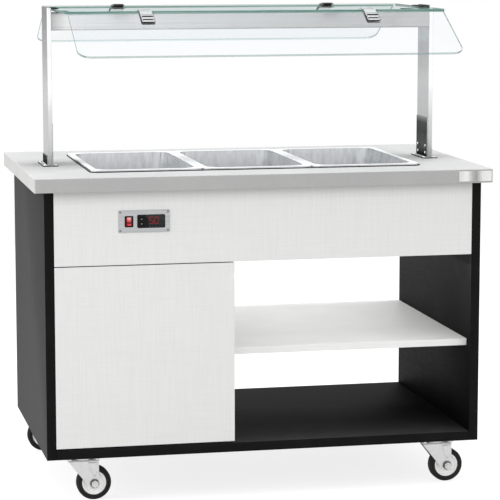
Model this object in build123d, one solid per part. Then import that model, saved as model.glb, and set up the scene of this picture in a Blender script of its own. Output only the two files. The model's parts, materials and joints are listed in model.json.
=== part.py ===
from build123d import *
import math
import os

# Heated buffet trolley: a laminate cabinet on four swivel castors, with a heated well for three
# lift-out food pans and a glass guard on two steel posts above it.
# Millimetres. X runs along the counter, Y from the guests' side to the staff side, Z up.
# The origin is on the floor, under the middle of the counter.

# Food pans
pan_count = 3
pan_width = 325
pan_length = 530
pan_depth = 65
pan_rim = 15.5
pan_lip = 5
pan_sheet = 1
pan_rim_corner = 20
pan_bowl_corner = 45
pan_draft = 7
pan_bottom_radius = 16
pan_gap = 1

# Heated well
tank_depth = 200
tank_sheet = 1.5
tank_corner = 20
tank_bottom_radius = 8
tank_reveal = 2
tank_seat = 12
tank_cutout_gap = 1
bar_width = 20
bar_height = 16
bar_end_gap = 0.3
lug_length = 10
lug_thickness = 4
insulation = 25
insulation_gap = 0.5
insulation_top_gap = 5
element_space = 11
element_radius = 4
element_gap = 0.2
element_pitch = 100
element_bend = 45
element_end_margin = 60
element_tail = 27
element_pin_radius = 2
element_pin_length = 14
probe_radius = 3
probe_head_radius = 7
probe_head_length = 9
probe_drop = 130

# Drain under the well, on the staff side of the open bay
drain_x = 250
drain_y = 200
drain_radius = 11
drain_wall = 2
drain_reach = 34
valve_socket = 12
valve_length = 60
valve_hex = 32
valve_neck_radius = 14
valve_ball_radius = 18
valve_bore = 7
valve_boss_radius = 9
valve_boss_length = 26
stem_radius = 4
stem_depth = 12
lever_length = 62
lever_hub_radius = 9
lever_grip_radius = 7
lever_thickness = 4
lever_nut = 10

# Counter and cabinet
end_margin = 179.5
front_margin = 133
worktop_thickness = 40
worktop_height = 940
worktop_corner = 4
worktop_edge = 2.5
side_overhang = 29
front_overhang = 20
carcass_board = 27
front_board = 19
shelf_board = 20
ceiling_board = 16
board_edge = 0.8
closed_bay_width = 519
panel_gap = 3
panel_foot_gap = 5
lower_bay_height = 253.5
shelf_setback = 35

# Controls on the front apron
control_inset = 284
control_drop = 88.5
control_width = 148
control_height = 64
control_sheet = 1.5
control_corner = 3
control_screw_edge = 5.5
control_gap = 0.3
switch_offset = -43.5
switch_width = 25
switch_height = 32
switch_bezel = 2.5
switch_wall = 2.5
switch_depth = 24
switch_well_depth = 13
rocker_gap = 0.3
rocker_tilt = 10
rocker_rise = 1.2
rocker_back = 5.5
rocker_shoulder = 2.2
rocker_draw_in = 1.2
rocker_pivot_depth = 1.5
rocker_trunnion = 1.5
rocker_trunnion_length = 1.2
controller_offset = 20
controller_width = 80
controller_height = 38
controller_bezel = 4
controller_corner = 4
controller_step = 4
controller_depth = 58
key_width = 10
key_height = 8
key_inset = 12
key_pitch = 14
key_proud = 0.8
key_sink = 2.4
key_travel = 0.6
key_gap = 0.2
key_corner = 1
gland_inset = 191
gland_drop = 180
gland_radius = 10
gland_hex = 24
gland_collar = 6
gland_nut = 5
gland_thread = 7
gland_dome_radius = 11
gland_dome_length = 16
gland_dome_taper = 12
gland_bore = 5

# Glass guard
guard_height = 464
post_inset = 83
post_width = 13
post_depth = 120
post_wall = 1.5
post_corner = 2
base_plate_width = 44
base_plate_depth = 132
base_plate_sheet = 3
base_plate_corner = 3
tongue_height = 54
tongue_sheet = 3
tongue_depth = 106
tongue_gap = 0.2
cheek_sheet = 2
cheek_gap = 0.1
cheek_depth = 114
cheek_corner = 3
inner_cheek_height = 121
outer_cheek_height = 26
post_screw_rise = 16
post_screw_pitch_z = 21.5
post_screw_pitch_y = 78
plate_screw_pitch_x = 32
plate_screw_pitch_y = 104
beam_height = 50
beam_corner = 3
pad_thickness = 4
pad_length = 30
pad_inset = 15
pad_margin = 6
grip_length = 24
grip_depth = 96
grip_thickness = 2.5
top_glass_depth = 520
top_glass_thickness = 8
top_glass_corner = 4
glass_end_gap = 13.5
glass_below_post_top = 4
flap_length = 245
flap_side_inset = 7
flap_thickness = 6
flap_corner = 36
flap_angle = 27.5
glass_edge = 0.6

# Friction hinges between the top glass and the flaps
hinge_offset = 330
hinge_width = 36
hinge_glass_gap = 4
hinge_notch_depth = 12.5
hinge_notch_side = 3
hinge_notch_corner = 4
hinge_barrel = 6
hinge_pin = 2.5
hinge_knuckle = 12
hinge_knuckle_gap = 0.3
hinge_web = 6
hinge_body_start = 7.5
hinge_wall = 4.5
hinge_plate = 2
hinge_cover = 2.5
hinge_cover_inset = 3
fixed_leaf_length = 44
fixed_cover_end = 37
moving_leaf_length = 62
moving_cover_split = 23.5
moving_cover_slot = 3
moving_cover_end = 49.5
moving_rim_start = 57
moving_rim_end = 61

# Castors
castor_left_inset = 107
castor_right_inset = 116.5
castor_front_inset = 55
castor_trail = 33
wheel_radius = 50
wheel_rim_radius = 35
wheel_rim_thickness = 5
wheel_rim_width = 26
wheel_web_width = 18
wheel_web_draft = 2
wheel_hub_radius = 12
tyre_width = 30
tyre_tread_width = 20
tyre_shoulder = 5
tyre_groove = 1
tyre_fit = 0.05
axle_radius = 6
axle_head = 19
axle_head_height = 7.5
axle_nut_height = 12
axle_end = 4
fork_sheet = 3
fork_bend = 8
fork_front = 46
fork_back = 46
fork_end_radius = 18
fork_wheel_gap = 5.5
fork_headroom = 18.2
bead_height = 1.5
bead_slope = 60
bead_back = 19
bead_front = 9
bead_tip = 4
bead_turn = 40
bead_low = 22
hub_side_gap = 0.3
race_height = 2.5
race_radius = 27
swivel_gap = 0.3
castor_race_height = 3.5
castor_race_radius = 31
castor_race_taper = 20
castor_plate_length = 105
castor_plate_width = 85
castor_plate_sheet = 3
castor_plate_corner = 10
castor_bolt_pitch_x = 80
castor_bolt_pitch_y = 60
castor_bolt_radius = 4
castor_bolt_head = 13
castor_bolt_head_height = 5.3
castor_bolt_grip = 22
king_pin_radius = 5
king_pin_head_radius = 9
king_pin_head_height = 5

# Small pan-head screws
screw_radius = 2
screw_head_radius = 3.6
screw_head_height = 2.4
screw_head_bevel = 0.9
screw_length = 15
post_screw_length = 8
screw_gap = 0.1

running_fit = 0.05

# Sizes that follow from the ones above
pan_pitch = pan_width + pan_gap
pans_length = pan_count * pan_width + (pan_count - 1) * pan_gap
flange_length = pans_length + 2 * tank_reveal
flange_width = pan_length + 2 * tank_reveal
tank_length = pans_length - 2 * tank_seat
tank_width = pan_length - 2 * tank_seat
tank_outer_length = tank_length + 2 * tank_sheet
tank_outer_width = tank_width + 2 * tank_sheet
worktop_width = flange_length + 2 * end_margin
worktop_depth = flange_width + 2 * front_margin
tank_bottom = worktop_height - tank_depth
flange_top = worktop_height + tank_sheet
insulation_bottom = tank_bottom - element_space - insulation
ceiling_bottom = insulation_bottom - ceiling_board
carcass_top = worktop_height - worktop_thickness
carcass_side = worktop_width / 2 - side_overhang
carcass_face = worktop_depth / 2 - front_overhang
inner_side = carcass_side - carcass_board
inner_face = carcass_face - front_board
crown_bottom = 2 * wheel_radius + fork_headroom
crown_top = crown_bottom + fork_sheet
castor_race_bottom = crown_top + race_height + swivel_gap
castor_plate_bottom = castor_race_bottom + castor_race_height
carcass_bottom = castor_plate_bottom + castor_plate_sheet
floor_top = carcass_bottom + carcass_board
shelf_bottom = floor_top + lower_bay_height
closed_bay_right = -inner_side + closed_bay_width
control_x = -carcass_side + control_inset
control_z = carcass_top - control_drop
plate_face = -carcass_face - control_sheet
post_outer = worktop_width / 2 - post_inset
post_inner = post_outer - post_width
post_x = post_outer - post_width / 2
inner_cheek_face = post_inner - cheek_gap - cheek_sheet
outer_cheek_face = post_outer + cheek_gap + cheek_sheet
post_bottom = worktop_height + base_plate_sheet
post_top = worktop_height + guard_height
top_glass_top = post_top - glass_below_post_top
top_glass_bottom = top_glass_top - top_glass_thickness
top_glass_length = 2 * (post_inner - glass_end_gap)
beam_top = top_glass_bottom - pad_thickness
hinge_y = -top_glass_depth / 2 - hinge_glass_gap
hinge_z = top_glass_top - top_glass_thickness / 2
fork_inside = tyre_width / 2 + fork_wheel_gap
fork_outside = fork_inside + fork_sheet


def block(x0, x1, y0, y1, z0, z1):
    """Straight block between two opposite corners."""
    centre = Pos((x0 + x1) / 2, (y0 + y1) / 2, (z0 + z1) / 2)
    return centre * Box(x1 - x0, y1 - y0, z1 - z0)


def board(x0, x1, y0, y1, z0, z1):
    """Faced board with softened edges."""
    blank = block(x0, x1, y0, y1, z0, z1)
    return chamfer(blank.edges(), board_edge)


def rounded_block(length, width, corner, z0, z1):
    """Upright block on the Z axis with rounded vertical corners."""
    return Pos(0, 0, z0) * extrude(RectangleRounded(length, width, corner), z1 - z0)


def rod(start, end, radius):
    """Round bar between two points."""
    run = Vector(*end) - Vector(*start)
    return extrude(Plane(origin=start, z_dir=run) * Circle(radius), run.length)


def hex_bar(start, end, across_flats):
    """Hexagonal bar between two points."""
    run = Vector(*end) - Vector(*start)
    outline = RegularPolygon(across_flats / 2, 6, major_radius=False)
    return extrude(Plane(origin=start, z_dir=run) * outline, run.length)


def both_sides(piece):
    """A piece and its half-turn copy about the upright axis through the origin."""
    return [piece, Rot(0, 0, 180) * piece]


def worktop():
    slab = rounded_block(worktop_width, worktop_depth, worktop_corner, carcass_top, worktop_height)
    slab = fillet(slab.faces().sort_by(Axis.Z)[-1].edges(), worktop_edge)
    cutout_length = tank_outer_length + 2 * tank_cutout_gap
    cutout_width = tank_outer_width + 2 * tank_cutout_gap
    slab -= rounded_block(cutout_length, cutout_width, tank_corner, carcass_top, worktop_height)
    for x, y in plate_screw_places():
        slab -= screw_hole((x, y, post_bottom), (0, 0, -1))
    return slab


def side_panel(side):
    x0, x1 = sorted((side * inner_side, side * carcass_side))
    return board(x0, x1, -carcass_face, carcass_face, carcass_bottom, carcass_top)


def bottom_panel():
    panel = board(-inner_side, inner_side, -carcass_face, carcass_face, carcass_bottom, floor_top)
    hole_radius = castor_bolt_radius + screw_gap
    hole_top = carcass_bottom + castor_bolt_grip + screw_gap
    for x, y in castor_bolt_places():
        panel -= rod((x, y, carcass_bottom), (x, y, hole_top), hole_radius)
    return panel


def divider_panel():
    left = closed_bay_right - front_board
    return board(left, closed_bay_right, -inner_face, inner_face, floor_top, ceiling_bottom)


def service_panel():
    """Fixed panel that closes the left bay on the guests' side."""
    bottom = floor_top + panel_foot_gap
    top = ceiling_bottom - panel_gap
    return board(-inner_side, closed_bay_right, -carcass_face, -inner_face, bottom, top)


def back_panel():
    """Fixed panel that closes the left bay on the staff side."""
    bottom = floor_top + panel_foot_gap
    top = ceiling_bottom - panel_gap
    return board(-inner_side, closed_bay_right, inner_face, carcass_face, bottom, top)


def front_apron():
    apron = board(-inner_side, inner_side, -carcass_face, -inner_face, ceiling_bottom, carcass_top)
    window_x = control_width / 2 - 2 * control_screw_edge
    window_z = control_height / 2 - 2 * control_screw_edge
    apron -= block(
        control_x - window_x,
        control_x + window_x,
        -carcass_face,
        -inner_face,
        control_z - window_z,
        control_z + window_z,
    )
    for x, z in control_screw_places():
        apron -= screw_hole((x, plate_face, z), (0, 1, 0))
    return apron


def back_apron():
    apron = board(-inner_side, inner_side, inner_face, carcass_face, ceiling_bottom, carcass_top)
    x, z = gland_place()
    return apron - rod((x, inner_face, z), (x, carcass_face, z), gland_radius + screw_gap)


def shelf():
    front = -carcass_face + shelf_setback
    top = shelf_bottom + shelf_board
    return board(closed_bay_right, inner_side, front, carcass_face, shelf_bottom, top)


def ceiling_panel():
    """Board under the well, which carries the insulation and closes the bays at the top."""
    panel = block(-inner_side, inner_side, -inner_face, inner_face, ceiling_bottom, insulation_bottom)
    return panel - drain_passage()


def drain_passage():
    low = (drain_x, drain_y, ceiling_bottom)
    high = (drain_x, drain_y, tank_bottom)
    return rod(low, high, drain_radius + insulation_gap)


def well_tank():
    """Pressed steel water bath with its seat flange, drain stub and lugs for the cross bars."""
    shell = rounded_block(
        tank_outer_length, tank_outer_width, tank_corner + tank_sheet, tank_bottom, flange_top
    )
    shell = fillet(shell.edges().group_by(Axis.Z)[0], tank_bottom_radius + tank_sheet)
    shell += rounded_block(flange_length, flange_width, pan_rim_corner, worktop_height, flange_top)
    hollow = rounded_block(tank_length, tank_width, tank_corner, tank_bottom + tank_sheet, flange_top)
    shell -= fillet(hollow.edges().group_by(Axis.Z)[0], tank_bottom_radius)
    stub_top = (drain_x, drain_y, tank_bottom + tank_sheet)
    stub_end = (drain_x, drain_y, ceiling_bottom - drain_reach)
    shell += rod(stub_top, stub_end, drain_radius)
    shell -= rod(stub_top, stub_end, drain_radius - drain_wall)
    lug_top = flange_top - bar_height
    for x in bar_places():
        for side in (-1, 1):
            y0, y1 = sorted((side * tank_width / 2, side * (tank_width / 2 - lug_length)))
            shell += block(x - bar_width / 2, x + bar_width / 2, y0, y1, lug_top - lug_thickness, lug_top)
    return shell


def bar_places():
    first = -(pan_count - 2) / 2 * pan_pitch
    return [first + index * pan_pitch for index in range(pan_count - 1)]


def pan_support_bars():
    """Channel bars that carry the rims of neighbouring pans."""
    reach = tank_width / 2 - bar_end_gap
    half = bar_width / 2
    low = flange_top - bar_height
    outside = block(-half, half, -reach, reach, low, flange_top)
    inside = block(
        -half + tank_sheet, half - tank_sheet, -reach, reach, low, flange_top - tank_sheet
    )
    channel = outside - inside
    return [Pos(x, 0, 0) * channel for x in bar_places()]


def bowl(inset, floor_z, bottom_radius):
    """Tapered tub between the rim and the floor of a pan, drawn in by a wall thickness."""
    rim_z = flange_top + pan_lip
    width = pan_width - 2 * pan_rim - 2 * inset
    length = pan_length - 2 * pan_rim - 2 * inset
    corner = pan_bowl_corner - inset
    mouth = Plane.XY.offset(rim_z) * RectangleRounded(width, length, corner)
    tub = extrude(mouth, floor_z - rim_z, taper=pan_draft)
    return fillet(tub.edges().group_by(Axis.Z)[0], bottom_radius)


def food_pan(index):
    rim_z = flange_top + pan_lip
    floor_z = rim_z - pan_depth
    hem = rounded_block(pan_width, pan_length, pan_rim_corner, flange_top, rim_z)
    hem -= rounded_block(
        pan_width - 2 * pan_sheet,
        pan_length - 2 * pan_sheet,
        pan_rim_corner - pan_sheet,
        flange_top,
        rim_z - pan_sheet,
    )
    pan = hem + bowl(0, floor_z, pan_bottom_radius)
    pan -= bowl(pan_sheet, floor_z + pan_sheet, pan_bottom_radius - pan_sheet)
    return Pos((index - (pan_count - 1) / 2) * pan_pitch, 0, 0) * pan


def insulation_jacket():
    outer_length = tank_outer_length + 2 * (insulation + insulation_gap)
    outer_width = tank_outer_width + 2 * (insulation + insulation_gap)
    top = carcass_top - insulation_top_gap
    jacket = rounded_block(outer_length, outer_width, tank_corner + insulation, insulation_bottom, top)
    jacket -= rounded_block(
        tank_outer_length + 2 * insulation_gap,
        tank_outer_width + 2 * insulation_gap,
        tank_corner + insulation_gap,
        insulation_bottom + insulation,
        top,
    )
    jacket -= drain_passage()
    for x, y in element_ends():
        inside = (-tank_outer_length / 2, y, element_z())
        jacket -= rod((x, y, element_z()), inside, element_radius + insulation_gap)
    tip, collar, _ = probe_points()
    jacket -= rod(collar, tip, probe_radius + element_gap)
    return jacket


def element_z():
    return tank_bottom - element_gap - element_radius


def element_ends():
    x = -tank_outer_length / 2 - insulation - element_tail
    outer_run = 1.5 * element_pitch
    return [(x, -outer_run), (x, outer_run)]


def heating_element():
    """Tubular element, bent in four runs under the floor of the well."""
    far = tank_outer_length / 2 - element_end_margin
    first, last = element_ends()
    inner_run = element_pitch / 2
    route = [
        first,
        (far, first[1]),
        (far, -inner_run),
        (-far, -inner_run),
        (-far, inner_run),
        (far, inner_run),
        (far, last[1]),
        last,
    ]
    path = FilletPolyline(*[(x, y, element_z()) for x, y in route], radius=element_bend)
    start = Plane(origin=path @ 0, z_dir=path % 0)
    element = sweep(start * Circle(element_radius), path=path)
    for x, y in element_ends():
        pin_end = (x - element_pin_length, y, element_z())
        element += rod((x, y, element_z()), pin_end, element_pin_radius)
    return element


def probe_points():
    """Tip on the tank wall, collar on the insulation and outer end of the temperature probe."""
    z = worktop_height - probe_drop
    tip_y = -tank_outer_width / 2
    collar_y = tip_y - insulation - insulation_gap
    end_y = collar_y - probe_head_length
    return [(control_x, y, z) for y in (tip_y, collar_y, end_y)]


def temperature_probe():
    tip, collar, end = probe_points()
    return rod(collar, tip, probe_radius) + rod(end, collar, probe_head_radius)


def valve_z():
    """Height of the ball and stem of the drain valve."""
    return ceiling_bottom - drain_reach + valve_socket - valve_length / 2


def drain_valve():
    """Ball valve on the end of the drain stub, with its stem boss to the staff side."""
    z = valve_z()
    top = (drain_x, drain_y, z + valve_length / 2)
    bottom = (drain_x, drain_y, z - valve_length / 2)
    body = hex_bar(top, (drain_x, drain_y, z + valve_length / 4), valve_hex)
    body += rod(top, bottom, valve_neck_radius)
    body += Pos(drain_x, drain_y, z) * Sphere(valve_ball_radius)
    boss_end = (drain_x, drain_y + valve_boss_length, z)
    body += rod((drain_x, drain_y, z), boss_end, valve_boss_radius)
    socket_end = (drain_x, drain_y, z + valve_length / 2 - valve_socket)
    body -= rod(top, socket_end, drain_radius + screw_gap)
    body -= rod(socket_end, bottom, valve_bore)
    stem_inner = (drain_x, boss_end[1] - stem_depth, z)
    return body - rod(stem_inner, boss_end, stem_radius + running_fit)


def drain_lever():
    """Quarter-turn handle: it lies along X when the drain is shut."""
    z = valve_z()
    face_y = drain_y + valve_boss_length
    y0 = face_y + swivel_gap
    y1 = y0 + lever_thickness
    hub = Circle(lever_hub_radius)
    grip = Pos(lever_length, 0) * Circle(lever_grip_radius)
    outline = make_hull([*hub.edges(), *grip.edges()])
    plane = Plane(origin=(drain_x, y0, z), x_dir=(1, 0, 0), z_dir=(0, 1, 0))
    handle = extrude(plane * outline, lever_thickness)
    stem_inner = (drain_x, face_y - stem_depth + swivel_gap, z)
    handle += rod(stem_inner, (drain_x, y0, z), stem_radius)
    return handle + hex_bar((drain_x, y1, z), (drain_x, y1 + lever_thickness, z), lever_nut)


def gland_place():
    return carcass_side - gland_inset, carcass_top - gland_drop


def cable_gland():
    """Screwed gland in the staff-side apron, where the supply lead enters."""
    x, z = gland_place()
    thread_end = inner_face - gland_thread
    collar_end = carcass_face + gland_collar
    gland = rod((x, thread_end, z), (x, collar_end, z), gland_radius)
    gland += hex_bar((x, carcass_face, z), (x, collar_end, z), gland_hex)
    gland += hex_bar((x, inner_face - gland_nut, z), (x, inner_face, z), gland_hex)
    dome_plane = Plane(origin=(x, collar_end, z), z_dir=(0, 1, 0))
    gland += extrude(dome_plane * Circle(gland_dome_radius), gland_dome_length, taper=gland_dome_taper)
    return gland - rod((x, thread_end, z), (x, collar_end + gland_dome_length, z), gland_bore)


def control_screw_places():
    reach_x = control_width / 2 - control_screw_edge
    reach_z = control_height / 2 - control_screw_edge
    return [(control_x + sx * reach_x, control_z + sz * reach_z) for sx in (-1, 1) for sz in (-1, 1)]


def front_plane(x, y, z):
    """Sketch plane that faces the guests, with X to the right and Y up."""
    return Plane(origin=(x, y, z), x_dir=(1, 0, 0), z_dir=(0, -1, 0))


def switch_body_size():
    return switch_width - switch_wall, switch_height - switch_wall


def controller_body_size():
    return controller_width - 2 * controller_step, controller_height - 2 * controller_step


def control_plate():
    face = front_plane(control_x, -carcass_face, control_z)
    plate = extrude(face * RectangleRounded(control_width, control_height, control_corner), control_sheet)
    for offset, size in ((switch_offset, switch_body_size()), (controller_offset, controller_body_size())):
        width, height = (side + 2 * control_gap for side in size)
        cutout = front_plane(control_x + offset, -carcass_face, control_z) * Rectangle(width, height)
        plate -= extrude(cutout, control_sheet)
    for x, z in control_screw_places():
        plate -= screw_hole((x, plate_face, z), (0, 1, 0))
    return plate


def controller_body():
    """Panel controller: a bezel in front of the plate and a case behind it, with two key pockets."""
    x = control_x + controller_offset
    face = front_plane(x, plate_face, control_z)
    outline = RectangleRounded(controller_width, controller_height, controller_corner)
    body = extrude(face * outline, controller_bezel)
    body = chamfer(body.faces().sort_by(Axis.Y)[0].edges(), board_edge)
    case_width, case_height = controller_body_size()
    body += block(
        x - case_width / 2,
        x + case_width / 2,
        plate_face,
        plate_face + controller_depth,
        control_z - case_height / 2,
        control_z + case_height / 2,
    )
    for _, key_x, key_z in key_places():
        pocket = front_plane(key_x, controller_face(), key_z)
        opening = RectangleRounded(key_width + 2 * key_gap, key_height + 2 * key_gap, key_corner + key_gap)
        body -= extrude(pocket * opening, -key_sink - key_travel - key_gap)
    return body


def controller_face():
    return plate_face - controller_bezel


def key_places():
    x = control_x + controller_offset - controller_width / 2 + key_inset
    return [("up", x, control_z + key_pitch / 2), ("down", x, control_z - key_pitch / 2)]


def key(x, z):
    back = front_plane(x, controller_face() + key_sink, z)
    cap = extrude(back * RectangleRounded(key_width, key_height, key_corner), key_sink + key_proud)
    return chamfer(cap.faces().sort_by(Axis.Y)[0].edges(), key_proud / 2)


def switch_face():
    return plate_face - switch_bezel


def rocker_pivot():
    return control_x + switch_offset, switch_face() + rocker_pivot_depth, control_z


def rocker_size():
    """Width and height of the rocker in its well."""
    return switch_width - 3 * switch_wall, switch_height - 3 * switch_wall


def switch_housing():
    x, pivot_y, z = rocker_pivot()
    face = front_plane(x, plate_face, z)
    bezel = extrude(face * RectangleRounded(switch_width, switch_height, control_corner), switch_bezel)
    bezel = chamfer(bezel.faces().sort_by(Axis.Y)[0].edges(), board_edge)
    width, height = switch_body_size()
    housing = bezel + block(
        x - width / 2, x + width / 2, plate_face, plate_face + switch_depth, z - height / 2, z + height / 2
    )
    well_width, well_height = (side + 2 * rocker_gap for side in rocker_size())
    mouth = front_plane(x, switch_face(), z) * Rectangle(well_width, well_height)
    housing -= extrude(mouth, -switch_well_depth)
    reach = rocker_size()[0] / 2 + rocker_trunnion_length + rocker_gap
    left = (x - reach, pivot_y, z)
    right = (x + reach, pivot_y, z)
    return housing - rod(left, right, rocker_trunnion + running_fit)


def rocker():
    """Rocker shown switched on: its upper half lies flush and the lower half stands proud."""
    x, pivot_y, z = rocker_pivot()
    width, height = rocker_size()
    reach = height / 2 - 2 * rocker_gap
    end_rise = rocker_rise + reach * math.tan(math.radians(rocker_tilt))
    outline = Polyline(
        (end_rise, reach),
        (rocker_rise, 0),
        (end_rise, -reach),
        (-rocker_shoulder, rocker_draw_in - reach),
        (-rocker_back, 0),
        (-rocker_shoulder, reach - rocker_draw_in),
        close=True,
    )
    side = Plane(origin=(-width / 2, 0, 0), x_dir=(0, -1, 0), z_dir=(1, 0, 0))
    profile = make_face(outline)
    blank = extrude(side * mirror(profile, about=Plane.XZ), width)
    trunnion = width / 2 + rocker_trunnion_length
    blank += rod((-trunnion, 0, 0), (trunnion, 0, 0), rocker_trunnion)
    return Pos(x, pivot_y, z) * Rot(-rocker_tilt, 0, 0) * blank


def screw_hole(point, direction, length=screw_length):
    """Clearance hole for a pan-head screw whose head seats at the point."""
    end = Vector(*point) + Vector(*direction) * (length + screw_gap)
    return rod(point, tuple(end), screw_radius + screw_gap)


def pan_head_screw(point, direction, length=screw_length):
    seat = Plane(origin=point, z_dir=-Vector(*direction))
    head = extrude(seat * Circle(screw_head_radius), screw_head_height)
    head = chamfer(head.edges().sort_by(Axis(seat.origin, seat.z_dir))[-1:], screw_head_bevel)
    tip = Vector(*point) + Vector(*direction) * length
    return head + rod(point, tuple(tip), screw_radius)


def plate_screw_places():
    places = []
    for side in (-1, 1):
        for sx in (-1, 1):
            for sy in (-1, 1):
                x = side * post_x + sx * plate_screw_pitch_x / 2
                places.append((x, sy * plate_screw_pitch_y / 2))
    return places


def post_screw_places():
    places = []
    for side in (-1, 1):
        for sy in (-1, 1):
            for row in (0, 1):
                z = worktop_height + post_screw_rise + row * post_screw_pitch_z
                places.append((side, sy * post_screw_pitch_y / 2, z))
    return places


def pan_head_screws():
    """All the small screws of the guard feet and of the control plate."""
    screws = [pan_head_screw((x, y, post_bottom), (0, 0, -1)) for x, y in plate_screw_places()]
    screws += [pan_head_screw((x, plate_face, z), (0, 1, 0)) for x, z in control_screw_places()]
    for side, y, z in post_screw_places():
        screws.append(pan_head_screw((side * inner_cheek_face, y, z), (side, 0, 0), post_screw_length))
    return screws


def guard_post(side):
    """Closed rectangular tube that stands on its base plate."""
    outer = rounded_block(post_width, post_depth, post_corner, post_bottom, post_top)
    inner_width = post_width - 2 * post_wall
    inner_depth = post_depth - 2 * post_wall
    outer -= block(
        -inner_width / 2,
        inner_width / 2,
        -inner_depth / 2,
        inner_depth / 2,
        post_bottom,
        post_top - post_wall,
    )
    post = Pos(side * post_x, 0, 0) * outer
    for screw_side, y, z in post_screw_places():
        if screw_side == side:
            post -= screw_hole((side * inner_cheek_face, y, z), (side, 0, 0), post_screw_length)
    return post


def cheek(x0, x1, height):
    """Upright flange of a foot plate, with rounded upper corners."""
    low, high = sorted((x0, x1))
    half = cheek_depth / 2
    flange = block(low, high, -half, half, worktop_height, post_bottom + height)
    return fillet(flange.edges().filter_by(Axis.X).group_by(Axis.Z)[-1], cheek_corner)


def base_bracket(side):
    """Foot plate on the worktop, with a cheek on each side of the post and a tongue inside it."""
    foot = rounded_block(base_plate_width, base_plate_depth, base_plate_corner, worktop_height, post_bottom)
    foot = Pos(side * post_x, 0, 0) * foot
    tongue_start = post_inner + post_wall + tongue_gap
    x0, x1 = sorted((side * tongue_start, side * (tongue_start + tongue_sheet)))
    half = tongue_depth / 2
    foot += block(x0, x1, -half, half, worktop_height, post_bottom + tongue_height)
    foot += cheek(side * inner_cheek_face, side * (inner_cheek_face + cheek_sheet), inner_cheek_height)
    foot += cheek(side * outer_cheek_face, side * (outer_cheek_face - cheek_sheet), outer_cheek_height)
    for x, y in plate_screw_places():
        foot -= screw_hole((x, y, post_bottom), (0, 0, -1))
    for screw_side, y, z in post_screw_places():
        if screw_side == side:
            foot -= screw_hole((side * inner_cheek_face, y, z), (side, 0, 0), post_screw_length)
    return foot


def top_beam():
    """Folded box beam between the posts, under the top glass."""
    plane = Plane(origin=(-post_inner, 0, beam_top - beam_height / 2), x_dir=(0, 1, 0), z_dir=(1, 0, 0))
    section = RectangleRounded(post_depth, beam_height, beam_corner)
    section -= RectangleRounded(
        post_depth - 2 * post_wall, beam_height - 2 * post_wall, beam_corner - post_wall
    )
    return extrude(plane * section, 2 * post_inner)


def glass_pads():
    """Rubber strips under the top glass on the beam, and over its ends against the posts."""
    reach = top_glass_length / 2 - pad_inset
    half = post_depth / 2 - pad_margin
    strip = block(reach - pad_length, reach, -half, half, beam_top, top_glass_bottom)
    half = grip_depth / 2
    top = top_glass_top + grip_thickness
    grip = block(post_inner - grip_length, post_inner, -half, half, top_glass_top, top)
    return both_sides(strip) + both_sides(grip)


def hinge_places():
    return (-hinge_offset, hinge_offset)


def notch(thickness):
    """Rounded cut-out in a glass edge for one hinge, with the hinge axis at the origin."""
    depth = hinge_notch_depth + hinge_barrel
    outline = RectangleRounded(hinge_width + 2 * hinge_notch_side, 2 * depth, hinge_notch_corner)
    slot = extrude(outline, thickness, both=True)
    return slot & block(-hinge_width, hinge_width, 0, depth, -thickness, thickness)


def cut_notches(glass, thickness):
    """Cut the hinge notches of a pane that lies on the +Y side of its hinge axis."""
    for x in hinge_places():
        glass -= Pos(x, 0, 0) * notch(thickness)
    return glass


def top_glass():
    pane = rounded_block(
        top_glass_length, top_glass_depth, top_glass_corner, top_glass_bottom, top_glass_top
    )
    pane = chamfer(pane.faces().sort_by(Axis.Z)[-1].edges(), glass_edge)
    pane = chamfer(pane.faces().sort_by(Axis.Z)[0].edges(), glass_edge)
    half_turn = Rot(0, 0, 180)
    for x in hinge_places():
        cut = Pos(x, hinge_y, hinge_z) * notch(top_glass_thickness)
        pane -= cut
        pane -= half_turn * cut
    return pane


def lay_flap(piece):
    """Turn a piece drawn level behind the origin into the front flap's place."""
    return Pos(0, hinge_y, hinge_z) * Rot(flap_angle, 0, 0) * Rot(0, 0, 180) * piece


def flap_glass():
    half = top_glass_length / 2 - flap_side_inset
    edge = hinge_glass_gap
    end = hinge_glass_gap + flap_length
    pane = block(-half, half, edge, end, -flap_thickness / 2, flap_thickness / 2)
    corners = pane.edges().filter_by(Axis.Z).group_by(Axis.Y)[-1]
    pane = fillet(corners, flap_corner)
    pane = chamfer(pane.faces().sort_by(Axis.Z)[-1].edges(), glass_edge)
    pane = chamfer(pane.faces().sort_by(Axis.Z)[0].edges(), glass_edge)
    return lay_flap(cut_notches(pane, flap_thickness))


def hinge_leaf(length, glass, covers, knuckles):
    """Clamp plates over and under a pane, with the knuckles on the hinge axis along X."""
    half = hinge_width / 2
    low = -glass / 2 - hinge_plate
    high = glass / 2 + hinge_plate
    wall_end = hinge_body_start + hinge_wall
    leaf = block(-half, half, hinge_body_start, wall_end, low, high)
    leaf += block(-half, half, hinge_body_start, length, glass / 2, high)
    leaf += block(-half, half, hinge_body_start, length, low, -glass / 2)
    corners = leaf.edges().filter_by(Axis.Z).group_by(Axis.Y)[-1]
    leaf = fillet(corners, hinge_cover_inset)
    cover_half = half - hinge_cover_inset
    for start, end in covers:
        cover = block(-cover_half, cover_half, start, end, high, high + hinge_cover)
        leaf += chamfer(cover.faces().sort_by(Axis.Z)[-1].edges(), board_edge)
    for x0, x1 in knuckles:
        leaf += rod((x0, 0, 0), (x1, 0, 0), hinge_barrel)
        leaf += block(x0, x1, 0, wall_end, -hinge_web / 2, hinge_web / 2)
        leaf -= rod((x0, 0, 0), (x1, 0, 0), hinge_pin + running_fit)
    return leaf


def fixed_leaf():
    outer = hinge_width / 2
    inner = hinge_knuckle / 2 + hinge_knuckle_gap
    cover_start = hinge_body_start + hinge_wall / 2
    covers = [(cover_start, fixed_cover_end)]
    knuckles = [(-outer, -inner), (inner, outer)]
    return hinge_leaf(fixed_leaf_length, top_glass_thickness, covers, knuckles)


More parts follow.
